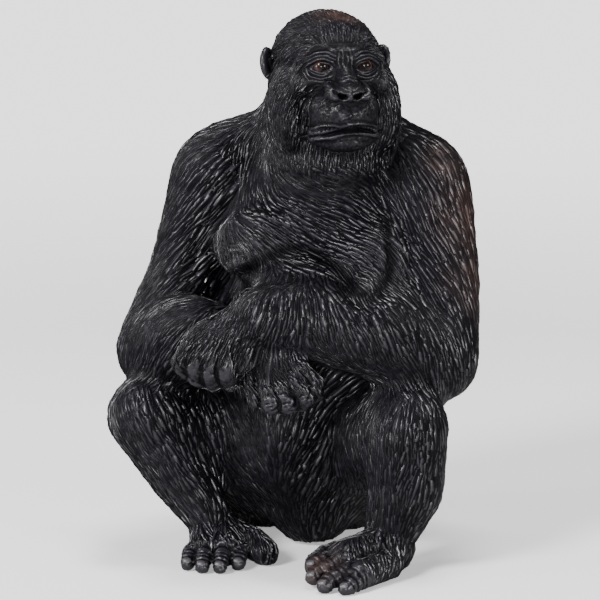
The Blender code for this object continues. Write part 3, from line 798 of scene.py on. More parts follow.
def shapeHands(clay):
    ahead = clay.normals[:, 1] < 0.4
    front = np.nonzero((clay.points[:, 1] < -16.5) & (clay.points[:, 2] > 21.0) & ahead)[0]
    flat = clay.points[front][:, (0, 2)]
    for knots, width, height in handLines:
        clay.draw(front, flat, knots, width, height)
    for knuckle, middle, tip in rightFingers:
        for t in (0.0, 0.3, 0.55, 0.8, 1.0, 1.3):
            x = knuckle[0] + (middle[0] - knuckle[0]) * t
            z = knuckle[1] + (middle[1] - knuckle[1]) * t
            height = 0.14 if t in (0.0, 0.55) else -0.16
            clay.draw(front, flat, [(x - 0.7, z - 0.15), (x, z + 0.1), (x + 0.7, z + 0.25)], 0.13, height)
    for start, end in bigToes:
        clay.rings(start, end, 2.4, 0.16, toeFolds["big"])
    down = np.array((0.0, 0.0, pose["footSink"]))
    for root, bend, tip in rightToes + leftToes:
        clay.rings(root - down, bend - down, 1.5, 0.15, toeFolds["root"])
        clay.rings(bend - down, tip - down, 1.3, 0.12, toeFolds["tip"])
    clay.settle()


def refine(body, weight):
    # halves the edges where the carving is finest
    work = bmesh.new()
    work.from_mesh(body.data)
    chosen = set(np.nonzero(weight > 0.5)[0].tolist())
    edges = [edge for edge in work.edges if edge.verts[0].index in chosen and edge.verts[1].index in chosen]
    bmesh.ops.subdivide_edges(work, edges=edges, cuts=1, use_grid_fill=True)
    work.to_mesh(body.data)
    work.free()


def makeSkin():
    body = bodyMesh()
    clay = Clay(body.data)
    fine = np.zeros(len(clay.points))
    inFace = clay.face
    fine[inFace[(clay.head[inFace, 1] < -5.5) & (np.abs(clay.head[inFace, 0]) < 6.2)]] = 1.0
    refine(body, fine)
    say(f"one body, {len(body.data.polygons)} faces")
    clay = Clay(body.data)
    shapeFace(clay)
    shapeEars(clay)
    shapeBody(clay)
    shapeHands(clay)
    bare = bareness(clay.points)
    hands = np.maximum(blobs(clay.points, bareSkin["hands"]), blobs(clay.points, bareSkin["feet"]))
    face = blobs(clay.head, bareSkin["face"]) * (clay.head[:, 1] < -4.0)
    for where, size, height, seed in ((hands, 0.5, 0.07, 11), (hands, 0.28, 0.045, 12),
                                      (face, 0.4, 0.028, 13), (face, 0.24, 0.022, 14)):
        clay.grain(where, size, height, seed)
    clay.move -= clay.normals * ((1.0 - bare) * coat["sink"])[:, None]
    clay.settle()
    clay.points[:, 2] = np.maximum(clay.points[:, 2], 0.0)
    setPoints(body.data, clay.points)
    say("skin shaped")
    return body


def storeCrests(mesh):
    # how far each point stands proud of its surroundings: 0 in a groove, 0.5 level, 1 on a crest
    points = pointsOf(mesh)
    edges = np.empty(len(mesh.edges) * 2, np.int32)
    mesh.edges.foreach_get("vertices", edges)
    edges = edges.reshape(-1, 2)
    start, end = np.concatenate((edges, edges[:, ::-1])).T
    count = np.maximum(np.bincount(start, minlength=len(points)), 1)
    soft = points
    for _ in range(skinMake["crestPasses"]):
        sums = [np.bincount(start, weights=soft[end, axis], minlength=len(points)) for axis in range(3)]
        soft = np.stack(sums, axis=1) / count[:, None]
    proud = ((points - soft) * normalsOf(mesh)).sum(1)
    crest = np.clip(0.5 + proud / skinMake["crestHeight"], 0.0, 1.0)
    # the creases under the breasts are pulled down to 0, which paints shade into them; the skin's paint and
    # gloss follow this value
    setValues(mesh, "crest", "FLOAT", crest * (1.0 - inCrease(points)))


def thinSkin(body, detail):
    # fewer triangles where the coat covers the skin
    group = body.vertex_groups.new(name="keep")
    for level in range(1, 6):
        members = np.nonzero((detail * 5).round() == level)[0]
        if len(members):
            group.add(members.tolist(), level / 5, "REPLACE")
    thin = body.modifiers.new("thin", "DECIMATE")
    corners = len(body.data.loops) - 2 * len(body.data.polygons)
    thin.ratio = skinMake["triangles"] / corners
    thin.use_collapse_triangulate = True
    thin.vertex_group = "keep"
    thin.invert_vertex_group = True
    thin.vertex_group_factor = skinMake["keep"]
    applyModifiers(body)
    body.vertex_groups.clear()


coat = {
    "sink": 0.3,            # how deep the skin lies under the coat
    "seed": 5,
    "wave": 0.27,           # how much neighbouring locks lean together
    "waveSize": 2.4,
    "width": 0.42,          # of a full lock, in millimetres
    "height": 0.50,
    "points": 8,            # along each lock
    "taper": (0.0, 0.72, 1.0, 1.0, 0.88, 0.64, 0.36, 0.0),
    "lift": (-0.35, 0.05, 0.12, 0.15, 0.15, 0.15, 0.17, 0.24),    # over the skin, in heights
    "ripple": 0.08,         # how far a lock rises and falls along its length
    "patch": 0.003,         # of each lock on the bake map
    "lengths": (0.65, 1.3),    # from and to, against the node's own
    "girths": (0.6, 1.25),
    "swell": 0.2,           # how much thickness varies from place to place
    "swellSize": 3.0,
    "strayLean": (0.35, 0.4),    # a finer lean's share and size, against the broad one
    "bend": 0.08,
    "tries": 24.0,          # random roots for each square millimetre
    "closest": 0.32,        # the cells of a grid that keep one of them each
    "floorGap": 0.75,       # a lock's middle stays this far above the floor, in heights
}
# how much thinner the locks are in each area, and how much shorter on bare skin
thinner = {"bare": 0.55, "chest": 0.08, "breasts": 0.45, "crease": 0.3, "face": 0.35, "shorter": 0.5}
# how far a guide's pull reaches, on the head and elsewhere
flowReach = {"head": 3.2, "body": 5.0}

# for each kind of node: length, thickness against a full lock, and space between roots
lockSizes = {
    "head": (3.6, 0.80, 0.53),
    "ear": (1.4, 0.45, 0.5),
    "eye": (1.4, 0.4, 0.45),
    "neck": (6.0, 1.06, 0.78),
    "chest": (5.6, 1.0, 0.76),
    "belly": (6.8, 1.24, 0.92),
    "pelvis": (6.8, 1.1, 0.86),
    "upper_arm": (8.0, 1.08, 0.83),
    "forearm": (6.6, 0.94, 0.72),
    "hand": (2.8, 0.6, 0.5),
    "thigh": (7.2, 1.14, 0.86),
    "shin": (6.8, 1.05, 0.78),
    "foot": (2.6, 0.6, 0.5),
}


def kindOf(node):
    return node.removesuffix("_right").removesuffix("_left")


# which way the hair lies: guides of a place and a direction each, on the head in its own frame
headFlow = [
    (0, -9.5, 3.4, 0, 0.3, 1), (-2.5, -8, 5, -0.5, 0.4, 0.8), (2.5, -8, 5, 0.5, 0.4, 0.8),
    (0, -7.5, 6, 0, 0.6, 0.8), (0, -1, 8, 0, 1, 0.1), (-3, -2, 7, -0.4, 1, 0), (3, -2, 7, 0.4, 1, 0),
    (0, 7, 5, 0, 0.5, -1), (0, 9, 0, 0, 0.2, -1), (-6.2, -3, 3.4, -0.7, 0.5, -0.7),
    (6.2, -3, 3.4, 0.7, 0.5, -0.7), (-5.4, -6.5, 3.2, -0.6, 0.4, -0.2), (5.4, -6.5, 3.2, 0.6, 0.4, -0.2),
    (-6.5, -4, 0, -0.3, 0.1, -1), (6.5, -4, 0, 0.3, 0.1, -1), (-6.5, -6, -3, -0.25, 0, -1),
    (6.5, -6, -3, 0.15, 0, -1), (-8, -6, -5, -0.15, 0, -1), (7.5, -7, -5, 0.1, 0, -1),
    (-7, -6, -9, 0.25, 0, -1), (6, -7, -9, -0.35, 0, -1), (0, -8, -11, 0, 0.2, -1),
    (-9, 2, 0, -0.1, 0.5, -1), (9, 2, 0, 0.1, 0.5, -1), (0, 9, -3, 0, 0, -1), (-5.2, -8, -3, -0.6, 0, -0.8),
    (5.0, -8, -3, 0.5, 0, -0.8),
]
trunkFlow = [
    (-2, -8, 57, 0.15, 0, -1), (-5, -4, 54, -0.25, 0, -1), (-6, -4, 51, -0.3, 0, -1),
    (-8, -5, 49, -0.4, 0, -1), (0, -9, 55, 0.3, 0, -1), (2, -9, 52, 1, 0, -0.3), (1, -8, 50, 1, 0, -0.15),
    (5, -8, 48, 1, 0, 0.08), (9, -8, 47, 1, 0, -0.1), (-3, -9, 47, 1, 0, -0.05), (2, -9, 47, 1, 0, 0),
    (6, -9, 46, 1, 0, 0.05), (10, -6, 50, -0.1, 0, -1), (12, -6, 48, 0, 0, -1), (13, -9, 46, 0.6, 0, -0.8),
    (12, -10, 45, 0.9, 0, -0.6), (-6, -7, 48, 1, 0, -0.15), (-7, -10, 44, 1, 0, 0.1),
    (-9, -6, 46, -0.3, 0, -1), (3, -9, 45, 1, 0, -0.05), (5, -9, 44, 1, 0, -0.3), (0, -9, 45, 1, 0, 0.2),
    (-5.5, -11, 40, 1, 0, 0.4), (-8.5, -9.5, 40.5, 0.5, 0, -1), (8.5, -11, 43.2, 0.9, 0, -0.25),
    (11, -11.5, 41.5, 0.5, 0, -1), (1.3, -10, 42.3, 0, 0, -1), (-2, -10, 41.4, -0.5, 0, -1),
    (4, -10, 41.2, 0.5, 0, -1), (-4, -10, 39.6, -0.6, 0, -1), (7, -10, 39.2, 0.6, 0, -1),
    (1.3, -10, 40.4, 0, 0, -1), (-3, -10, 37, -0.6, 0, -1), (2, -10, 39, 0, 0, -1),
    (7, -10, 38, 0.6, 0, -1), (-10, -8, 34, -0.3, 0, -1), (-10, -10, 21, 0.9, 0, -1),
    (-7, -10, 16, 1.3, 0, -1), (-4.5, -10, 12, 1.3, 0, -1), (-1.6, -11.4, 14, 0, 0, -1),
    (1, -12, 16, -1.3, 0, -1), (3, -11, 14, -1.5, 0, -1), (5, -11, 17, -1.5, 0, -1),
    (5.6, -10.6, 22.6, -1.2, 0, -1), (-4.5, -12, 20, 1.2, 0, -1), (2, -12, 20, -1.2, 0, -1),
    (-6, -11, 24, 0.9, 0, -1), (-1.6, -12, 20, 0, 0, -1), (-4, -5, 6, 0.6, 0.3, -0.8),
    (1, -8, 8, -0.4, 0.2, -0.8), (2, 16, 50, 0, 0, -1), (2, 17, 35, 0, 0, -1), (0, 17, 20, 0, 0, -1),
    (-10, 12, 45, -0.35, 0, -1), (14, 11, 45, 0.35, 0, -1), (-12, 8, 30, 0, 0, -1), (12, 8, 30, 0, 0, -1),
    (-7, 15, 8, -0.2, 0, -1), (6, 15, 8, 0.2, 0, -1), (4, 8, 62, 0, 0.3, -1), (-6, 4, 58, -1, 0, -0.4),
    (12, 4, 58, 1, 0, -0.4),
]
armFlow = {
    "right": [
        (-10.5, 0, 57.7, -1, 0, -0.25), (-14, -2, 55, -0.8, 0, -0.8), (-15.6, -3, 51, -0.5, 0, -1),
        (-18, -2, 49, -0.3, 0, -1), (-13, -4, 48, -0.8, 0, -0.8), (-15.5, -5.3, 42, -1, 0, -0.6),
        (-17, -7, 38, -1, -0.2, -0.45), (-19, -5, 40, -0.5, 0, -1), (-17, -14, 34, -1, 0.3, -0.6),
        (-19, -14, 29, -0.4, 0, -1), (-22, -11, 29, -0.1, 0, -1), (-15, -17, 31, -0.8, 0.2, -1),
        (-19, 3, 45, -0.1, 0, -1), (-21, 0, 34, 0, -0.1, -1), (-23, -4, 27, 0, -0.3, -1),
        (-10, -6, 38, -0.3, 0, -1), (-1, -21, 30, 0.5, 0, -1), (-6, -18, 31, 0.3, 0, -1),
        (2, -21, 28, 0.6, 0, -1), (-9, -13, 36, -0.5, -1, -0.2), (-15, -9, 36.5, -1, -0.6, -0.2),
    ],
    "left": [
        (17, -1.5, 57, 0.7, -0.4, -0.4), (20, -4, 54, 0.6, 0, -1), (22, -5, 47, 0.45, 0, -1),
        (19, -6, 48, 0.7, 0, -1), (16, -6, 50, 0.5, 0, -1), (14, -5, 54, 0.5, 0, -1),
        (14, -7, 47, 0.3, 0, -1), (23, -5.5, 41.5, 0.4, 0, -1), (19, -9, 39, 0.6, 0, -1),
        (12, -18, 37, 0.9, 0, -0.9), (7.5, -20, 37, 0.6, 0, -1), (3.4, -21, 37, 0, 0, -1),
        (-1, -22, 38.5, -0.5, 0, -1), (-4, -23, 37, -0.6, 0, -1), (16, -17, 34.5, 0.6, 0, -1),
        (22, -11, 33, 0.4, 0, -1), (24, -11, 27, 0, 0, -1), (20, -14, 28, 0.35, 0, -1),
        (9, -20, 33, 0.5, 0, -1), (16, -9, 38, 0.6, -0.3, -0.8), (3, -14, 40, 0, -1, -0.2),
        (8, -12, 39, 0.3, -1, -0.2), (-2, -16.5, 39.5, -0.3, -1, -0.2), (13, -11, 38.5, 0.5, -1, -0.2),
        (23, 4, 45, 0.1, 0, -1), (24, 0, 33, 0, -0.1, -1), (22, -3, 26, 0, -0.4, -1),
    ],
}
legFlow = {
    "right": [
        (-21, -16, 23, 0.2, -0.1, -1), (-17.5, -17, 19, 1, 0, -0.8), (-15, -16, 14, 1, 0, -0.75),
        (-20, -16, 16, 0.5, 0, -1), (-11, -14, 9, 1, 0, -0.6), (-12, -14.5, 5, -0.5, -0.4, -0.8),
        (-14.5, -14, 21, 0.2, 0, -1), (-11, -11, 16.5, 0.3, 0, -1), (-9.4, -8, 10, 0.3, 0, -1),
        (-22, -8, 20, 0, 0.4, -1), (-17, 0, 14, 0, 0.5, -1), (-14, 6, 9, -0.1, 0.4, -1),
        (-20, -10, 14, 0.2, 0, -1),
    ],
    "left": [
        (15, -18, 24, -0.1, -0.2, -1), (12, -16, 23, -0.2, -0.1, -1), (19, -19, 21, 0.05, 0, -1),
        (9, -14, 18, -0.1, 0, -1), (12, -17, 13, -0.3, 0, -1), (20, -17.5, 11.5, -0.35, 0, -1),
        (15.5, -18, 8, -0.1, 0, -1), (16, -19.6, 17, 0, 0, -1), (6.5, -6, 7, -0.5, 0, -1),
        (21, -10, 19, 0, 0.4, -1), (18, -2, 14, 0, 0.5, -1), (14, 5, 9, 0, 0.4, -1),
    ],
}


def flowGroup(node):
    # the group of guides that a node's hair follows
    side = "left" if node.endswith("left") else "right"
    if node.startswith(("head", "ear", "eye")):
        return "head"
    if node.startswith(("upper_arm", "forearm", "hand")):
        return "arm_" + side
    if node.startswith(("thigh", "shin", "foot")):
        return "leg_" + side
    return "trunk"


def guideArrays():
    # each group's places and directions
    onSkull = [(*onHead(*guide[:3]), *(headSpin @ Vector(guide[3:]))) for guide in headFlow]
    tables = {"head": onSkull, "trunk": trunkFlow}
    for side in ("right", "left"):
        tables["arm_" + side] = armFlow[side]
        tables["leg_" + side] = legFlow[side]
    arrays = {}
    for name, table in tables.items():
        table = np.array(table, float)
        arrays[name] = (table[:, :3], unit(table[:, 3:]))
    return arrays


guides = guideArrays()


def flowAt(points, group):
    places, ways = guides[group]
    reach = flowReach["head" if group == "head" else "body"]
    far = ((points[:, None, :] - places[None]) ** 2).sum(2)
    weight = np.exp(-(far - far.min(1, keepdims=True)) / (2.0 * reach ** 2))
    return unit((weight[:, :, None] * ways[None]).sum(1))


def nodeFinder():
    # which CAD node is nearest to a point
    corners, faces, owners = [], [], []
    names = sorted(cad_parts)
    for number, name in enumerate(names):
        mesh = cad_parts[name].data
        mesh.calc_loop_triangles()
        start = len(corners)
        corners += [Vector(point) for point in fromFrame(pointsOf(mesh))]
        faces += [tuple(start + i for i in triangle.vertices) for triangle in mesh.loop_triangles]
        owners += [number] * len(mesh.loop_triangles)
    tree = BVHTree.FromPolygons(corners, faces)
    return lambda point: names[owners[tree.find_nearest(point)[2]]]


def scatter(mesh, rng):
    # random places on the skin, evenly by area
    mesh.calc_loop_triangles()
    count = len(mesh.loop_triangles)
    triangles = np.empty(count * 3, np.int32)
    mesh.loop_triangles.foreach_get("vertices", triangles)
    corners = pointsOf(mesh)[triangles.reshape(-1, 3)]
    area = np.linalg.norm(np.cross(corners[:, 1] - corners[:, 0], corners[:, 2] - corners[:, 0]), axis=1) / 2
    chosen = rng.choice(count, size=int(area.sum() * coat["tries"]), p=area / area.sum())
    u, v = rng.random((2, len(chosen)))
    flip = u + v > 1
    u[flip], v[flip] = 1 - u[flip], 1 - v[flip]
    first, second, third = corners[chosen].transpose(1, 0, 2)
    return first + (second - first) * u[:, None] + (third - first) * v[:, None]


def onePerCell(points, size):
    # the first point in each cell of a grid
    cells = np.floor(points / size).astype(np.int64)
    keys = cells[:, 0] * 4000037 + cells[:, 1] * 2003 + cells[:, 2]
    return np.sort(np.unique(keys, return_index=True)[1])


def traceLocks(tree, roots, group, lengths, rng):
    # points along the skin from each root, with the skin's normals there
    steps = coat["points"]
    points, normals = [], []
    place = roots
    lean = 0.0
    for (share, size), seed in (((1.0, 1.0), 31), (coat["strayLean"], 41)):
        waves = [noise(roots, coat["waveSize"] * size, seed + axis) for axis in range(3)]
        lean = lean + share * np.stack(waves, axis=1)
    bend = rng.normal(0.0, coat["bend"], (len(roots), 3))
    for step in range(steps):
        hits = [tree.find_nearest(point) for point in place]
        place = np.array([hit[0] for hit in hits])
        normal = np.array([hit[1] for hit in hits])
        points.append(place)
        normals.append(normal)
        way = flowAt(place, group) + lean * coat["wave"] + bend * (2.0 * step / (steps - 1) - 1.0)
        way -= normal * (way * normal).sum(1, keepdims=True)
        place = place + unit(way) * (lengths / (steps - 1))[:, None]
    return np.stack(points, axis=1), np.stack(normals, axis=1)


def lockTree():
    # sweeps a three-sided lock along each path of a mesh of edges
    tree = bpy.data.node_groups.new("carve_locks", "GeometryNodeTree")
    sizes = ("Width", "Height", "Patch")
    kinds = {"Paths": "Geometry", **{name: "Float" for name in sizes}, "Material": "Material"}
    for name, kind in kinds.items():
        tree.interface.new_socket(name, in_out="INPUT", socket_type="NodeSocket" + kind)
    tree.interface.new_socket("Locks", in_out="OUTPUT", socket_type="NodeSocketGeometry")
    make = Socket(tree).make
    given = tree.nodes.new("NodeGroupInput").outputs
    paths, width, height, patch, material = (Socket(tree, given[name]) for name in kinds)

    def named(name, kind="FLOAT"):
        return make("GeometryNodeInputNamedAttribute", {"data_type": kind}, Name=name)

    def stored(geometry, name, value, kind="FLOAT", domain="POINT"):
        return make("GeometryNodeStoreNamedAttribute", {"data_type": kind, "domain": domain},
                    Geometry=geometry, Name=name, Value=value)

    def vector(x, y, z):
        return make("ShaderNodeCombineXYZ", X=x, Y=y, Z=z)

    def parts(value):
        outputs = make("ShaderNodeSeparateXYZ", Vector=value).socket.node.outputs
        return [Socket(tree, output) for output in outputs]

    # the cross section: a triangle with one corner up, and how far across each corner is
    corner = 0.866    # the cosine of 30 degrees
    ring = make("GeometryNodeCurvePrimitiveCircle", Resolution=3, Radius=1.0)
    ring = make("GeometryNodeTransform", Geometry=ring, Rotation=(0.0, 0.0, math.pi / 2))
    ring = stored(ring, "across", parts(make("GeometryNodeInputPosition"))[0] * (1 / corner))
    ring = make("GeometryNodeTransform", Geometry=ring, Scale=vector(width * (0.5 / corner), height, 1.0))
    curve = make("GeometryNodeMeshToCurve", Mesh=paths)
    up = named("up", "FLOAT_VECTOR")
    curve = make("GeometryNodeSetCurveNormal", {"mode": "FREE"}, Curve=curve, Normal=up)
    locks = make("GeometryNodeCurveToMesh", Curve=curve, Profile_Curve=ring, Scale=named("girth"))
    u, v = parts(named("bake", "FLOAT_VECTOR"))[:2]
    spot = vector(u + (named("across") * 0.5 + 0.5) * patch, v + named("along") * patch, 0.0)
    locks = stored(locks, "OFBake", spot, "FLOAT2", "CORNER")
    locks = make("GeometryNodeMergeByDistance", Geometry=locks, Distance=1e-7)
    locks = make("GeometryNodeSetShadeSmooth", Geometry=locks)
    locks = make("GeometryNodeRealizeInstances", Geometry=locks)
    locks = make("GeometryNodeSetMaterial", Geometry=locks, Material=material)
    tree.links.new(locks.socket, tree.nodes.new("NodeGroupOutput").inputs["Locks"])
    return tree


def bakeCell(roots, nodes, cellNames):
    # a place for each root on an unwrap of the skin: one cell for each node, angle by length
    columns = math.ceil(math.sqrt(len(cellNames)))
    places = np.zeros((len(roots), 2))
    for number, name in enumerate(cellNames):
        mine = nodes == name
        if not mine.any():
            continue
        centred = roots[mine] - roots[mine].mean(0)
        axes = np.linalg.eigh(centred.T @ centred)[1]
        length = centred @ axes[:, 2]
        angle = np.arctan2(centred @ axes[:, 1], centred @ axes[:, 0]) / (2 * math.pi) + 0.5
        length = (length - length.min()) / max(np.ptp(length), 1e-6)
        column, row = number % columns, number // columns
        cell = np.stack((angle, length), axis=1) * 0.96 + 0.01
        places[mine] = (np.array((column, row)) + cell) / columns
    return places * 0.99


def setValues(mesh, name, kind, values):
    layer = mesh.attributes.new(name, kind, "POINT")
    field = "vector" if kind == "FLOAT_VECTOR" else "value"
    layer.data.foreach_set(field, values.astype(np.float32).ravel())


def lockPiece(name, tree, paths, normals, girths, tones, phases, bakePlaces, finish):
    count, steps = paths.shape[:2]
    along = np.linspace(0.0, 1.0, steps)
    ripple = np.sin(2 * math.pi * (along[None] * 1.6 + phases[:, None])) * np.sin(math.pi * along)
    lift = (np.array(coat["lift"])[None] * coat["height"] + coat["ripple"] * ripple) * girths[:, None]
    paths = paths + normals * lift[:, :, None]
    paths[:, :, 2] = np.maximum(paths[:, :, 2], coat["height"] * girths[:, None] * coat["floorGap"])
    mesh = bpy.data.meshes.new(name)
    mesh.vertices.add(count * steps)
    mesh.vertices.foreach_set("co", toFrame(paths.reshape(-1, 3)).astype(np.float32).ravel())
    first = (np.arange(count) * steps)[:, None] + np.arange(steps - 1)[None]
    mesh.edges.add(first.size)
    mesh.edges.foreach_set("vertices", np.stack((first, first + 1), axis=2).astype(np.int32).ravel())
    setValues(mesh, "up", "FLOAT_VECTOR", normals)
    setValues(mesh, "girth", "FLOAT", girths[:, None] * np.array(coat["taper"])[None])
    setValues(mesh, "along", "FLOAT", np.tile(along, count))
    setValues(mesh, "tone", "FLOAT", np.repeat(tones, steps))
    # painted shade in the creases under the breasts, which darkens the locks' colour and gloss there
    setValues(mesh, "shade", "FLOAT", inCrease(paths.reshape(-1, 3)))
    flatPlaces = np.concatenate((bakePlaces, np.zeros((count, 1))), axis=1)
    setValues(mesh, "bake", "FLOAT_VECTOR", np.repeat(flatPlaces, steps, axis=0))
    mesh.update()
    piece = newObject(name, mesh)
    sweep = piece.modifiers.new("locks", "NODES")
    sweep.node_group = tree
    values = {"Width": coat["width"] * 0.001, "Height": coat["height"] * 0.001, "Patch": coat["patch"],
              "Material": finish}
    for item in tree.interface.items_tree:
        if item.name in values:
            sweep[item.identifier] = values[item.name]
    applyModifiers(piece)
    for attribute in ("up", "girth", "bake"):
        piece.data.attributes.remove(piece.data.attributes[attribute])
    return piece


coatPieces = {
    "coat_head": ("head", "ear_right", "ear_left", "eye_right", "eye_left"),
    "coat_neck": ("neck",),
    "coat_trunk": ("chest",),
    "coat_belly": ("belly", "pelvis"),
    "coat_arm_right": ("upper_arm_right", "forearm_right", "hand_right"),
    "coat_arm_left": ("upper_arm_left", "forearm_left", "hand_left"),
    "coat_leg_right": ("thigh_right", "shin_right", "foot_right"),
    "coat_leg_left": ("thigh_left", "shin_left", "foot_left"),
}


def slimness(roots):
    # how thick the locks are here against their node's own
    slim = (1.0 - thinner["bare"] * bareness(roots)) * (1.0 - thinner["chest"] * blobs(roots, fineCoat))
    slim *= 1.0 - thinner["crease"] * inCrease(roots)
    onFace = blobs(headFrame(roots), fineFace)
    return slim * ((1.0 - thinner["breasts"] * blobs(roots, breasts)) * (1.0 - thinner["face"] * onFace))


def makeCoat(body, finish):
    rng = np.random.default_rng(coat["seed"])
    mesh = body.data
    points = scatter(mesh, rng)
    points = points[onePerCell(points, coat["closest"])]
    points = points[bareness(points) < 0.5]
    points = points[rng.permutation(len(points))]
    findNode = nodeFinder()
    nodes = np.array([findNode(point) for point in points])
    say(f"{len(points)} places for locks")
    skin = BVHTree.FromPolygons([Vector(point) for point in pointsOf(mesh)],
                                [tuple(polygon.vertices) for polygon in mesh.polygons])
    tree = lockTree()
    for name, members in coatPieces.items():
        chosen = []
        for node in members:
            mine = np.nonzero(nodes == node)[0]
            if len(mine):
                chosen.append(mine[onePerCell(points[mine], lockSizes[kindOf(node)][2])])
        chosen = np.concatenate(chosen)
        sizes = np.array([lockSizes[kindOf(node)] for node in nodes[chosen]])
        roots = points[chosen]
        lengths = sizes[:, 0] * rng.uniform(*coat["lengths"], len(chosen))
        lengths = lengths * (1.0 - thinner["shorter"] * bareness(roots))
        girths = sizes[:, 1] * rng.uniform(*coat["girths"], len(chosen)) * slimness(roots)
        girths = girths * (1.0 + coat["swell"] * noise(roots, coat["swellSize"], 77))
        paths, normals = traceLocks(skin, roots, flowGroup(members[0]), lengths, rng)
        bakePlaces = bakeCell(roots, nodes[chosen], members)
        tones, phases = rng.random((2, len(chosen)))
        piece = lockPiece(name, tree, paths, normals, girths, tones, phases, bakePlaces, finish)
        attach(piece, "root")
        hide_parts(*[node for node in members if not node.startswith("eye")])
        piece.data.calc_loop_triangles()
        say(f"{name}: {len(chosen)} locks, {len(piece.data.loop_triangles)} triangles")


class Socket:
    # a socket of a node tree that takes part in sums
    def __init__(self, tree, socket=None):
        self.tree = tree
        self.socket = socket

    def set(self, socket, value):
        if isinstance(value, Socket):
            self.tree.links.new(value.socket, socket)
        else:
            socket.default_value = value

    def make(self, kind, settings=None, output=0, **inputs):
        # adds a node and gives one of its outputs; n0, n1 and so on are inputs by number
        node = self.tree.nodes.new(kind)
        for name, value in (settings or {}).items():
            setattr(node, name, value)
        for name, value in inputs.items():
            key = int(name[1:]) if name[1:].isdigit() else name.replace("_", " ")
            self.set(node.inputs[key], value)
        return Socket(self.tree, node.outputs[output])

    def maths(self, operation, *values):
        inputs = {f"n{i}": value for i, value in enumerate(values)}
        return self.make("ShaderNodeMath", {"operation": operation}, **inputs)

    def clamped(self):
        return self.make("ShaderNodeClamp", Value=self)

    def __add__(self, other):
        return self.maths("ADD", self, other)

    def __radd__(self, other):
        return self.maths("ADD", other, self)

    def __sub__(self, other):
        return self.maths("SUBTRACT", self, other)

    def __rsub__(self, other):
        return self.maths("SUBTRACT", other, self)

    def __mul__(self, other):
        return self.maths("MULTIPLY", self, other)

    def __rmul__(self, other):
        return self.maths("MULTIPLY", other, self)

    def __truediv__(self, other):
        return self.maths("DIVIDE", self, other)

    def __rtruediv__(self, other):
        return self.maths("DIVIDE", other, self)


class Finish(Socket):
    # a material's own maker: its shader and the nodes that feed it
    def __init__(self, name):
        self.material = bpy.data.materials.new(name)
        self.material.use_nodes = True
        super().__init__(self.material.node_tree)
        self.shader = self.tree.nodes["Principled BSDF"]

    def feed(self, **inputs):
        for name, value in inputs.items():
            self.set(self.shader.inputs[name.replace("_", " ")], value)

    def place(self):
        return self.make("ShaderNodeTexCoord", output="Object")

    def attribute(self, name):
        return self.make("ShaderNodeAttribute", {"attribute_name": name}, "Fac")

    def noise(self, place, scale, detail=2.0, roughness=0.5):
        return self.make("ShaderNodeTexNoise", output="Fac", Vector=place, Scale=scale, Detail=detail,
                         Roughness=roughness)

    def distance(self, place, centre):
        return self.make("ShaderNodeVectorMath", {"operation": "DISTANCE"}, "Value", n0=place, n1=centre)

    def mix(self, factor, first, second):
        return self.make("ShaderNodeMix", {"data_type": "RGBA"}, 2, n0=factor, n6=first, n7=second)

    def bump(self, height, distance, strength):
        return self.make("ShaderNodeBump", Strength=strength, Distance=distance, Height=height)


plastic = {
    "black": (0.0018, 0.0016, 0.0024, 1.0),
    # the lighter paint on the locks' crests, which with the black in their grooves is partly dry-brushed
    # wear, partly painted highlight and painted shade; it also streaks the toenails
    "wornAndPaintedLight": (0.0128, 0.0113, 0.0152, 1.0),
    "brown": (0.058, 0.033, 0.026, 1.0),
    "specular": 0.04,
    "roughness": 0.5,
    "gloss": 1.0,                       # the clear coat's weight on crests of the hair, and of the skin
    "skinGloss": 0.26,
    # the lighter paint on the skin's raised places: partly wear, partly painted highlight, with painted
    # shade where the black shows in grooves
    "skinWornAndPaintedLight": (0.0064, 0.0057, 0.0078, 1.0),
    "glossRoughness": 0.34,
    "glossIOR": 1.58,
    "mottle": 700.0,                    # scales of the patterns
    "grain": 4200.0,
    "pores": 3600.0,
    "grainDepth": 0.00005,
    "poreDepth": 0.00011,
    # brown dry-brushed patches: where, how wide, how strong
    "tints": (((6.0, -3.0, 75.0), 5.4, 1.0), ((25.0, -1.0, 47.0), 10.5, 0.9), ((23.5, -4.0, 56.0), 8.0, 0.8),
              ((24.5, -3.0, 38.0), 8.5, 0.7), ((5.5, -24.5, 3.4), 5.2, 0.26)),
}


def markings(finish, place, mottle):
    # the brown tint that skin and coat share
    total = None
    for centre, radius, strength in plastic["tints"]:
        near = (1.0 - finish.distance(place, tuple(toFrame(centre))) / (radius * 0.001)).clamped()
        spot = near * near * (3.0 - 2.0 * near) * strength
        total = spot if total is None else total.maths("MAXIMUM", total, spot)
    return (total * (mottle * 2.6 - 0.5)).clamped()


def glossy(finish, weight, colour, normal):
    # a dull body with a clear coat that thins out in the grooves, which paints shade onto its gloss there
    finish.feed(Base_Color=colour, Roughness=plastic["roughness"], Specular_IOR_Level=plastic["specular"],
                Coat_Weight=weight, Coat_Roughness=plastic["glossRoughness"], Coat_IOR=plastic["glossIOR"],
                Normal=normal)


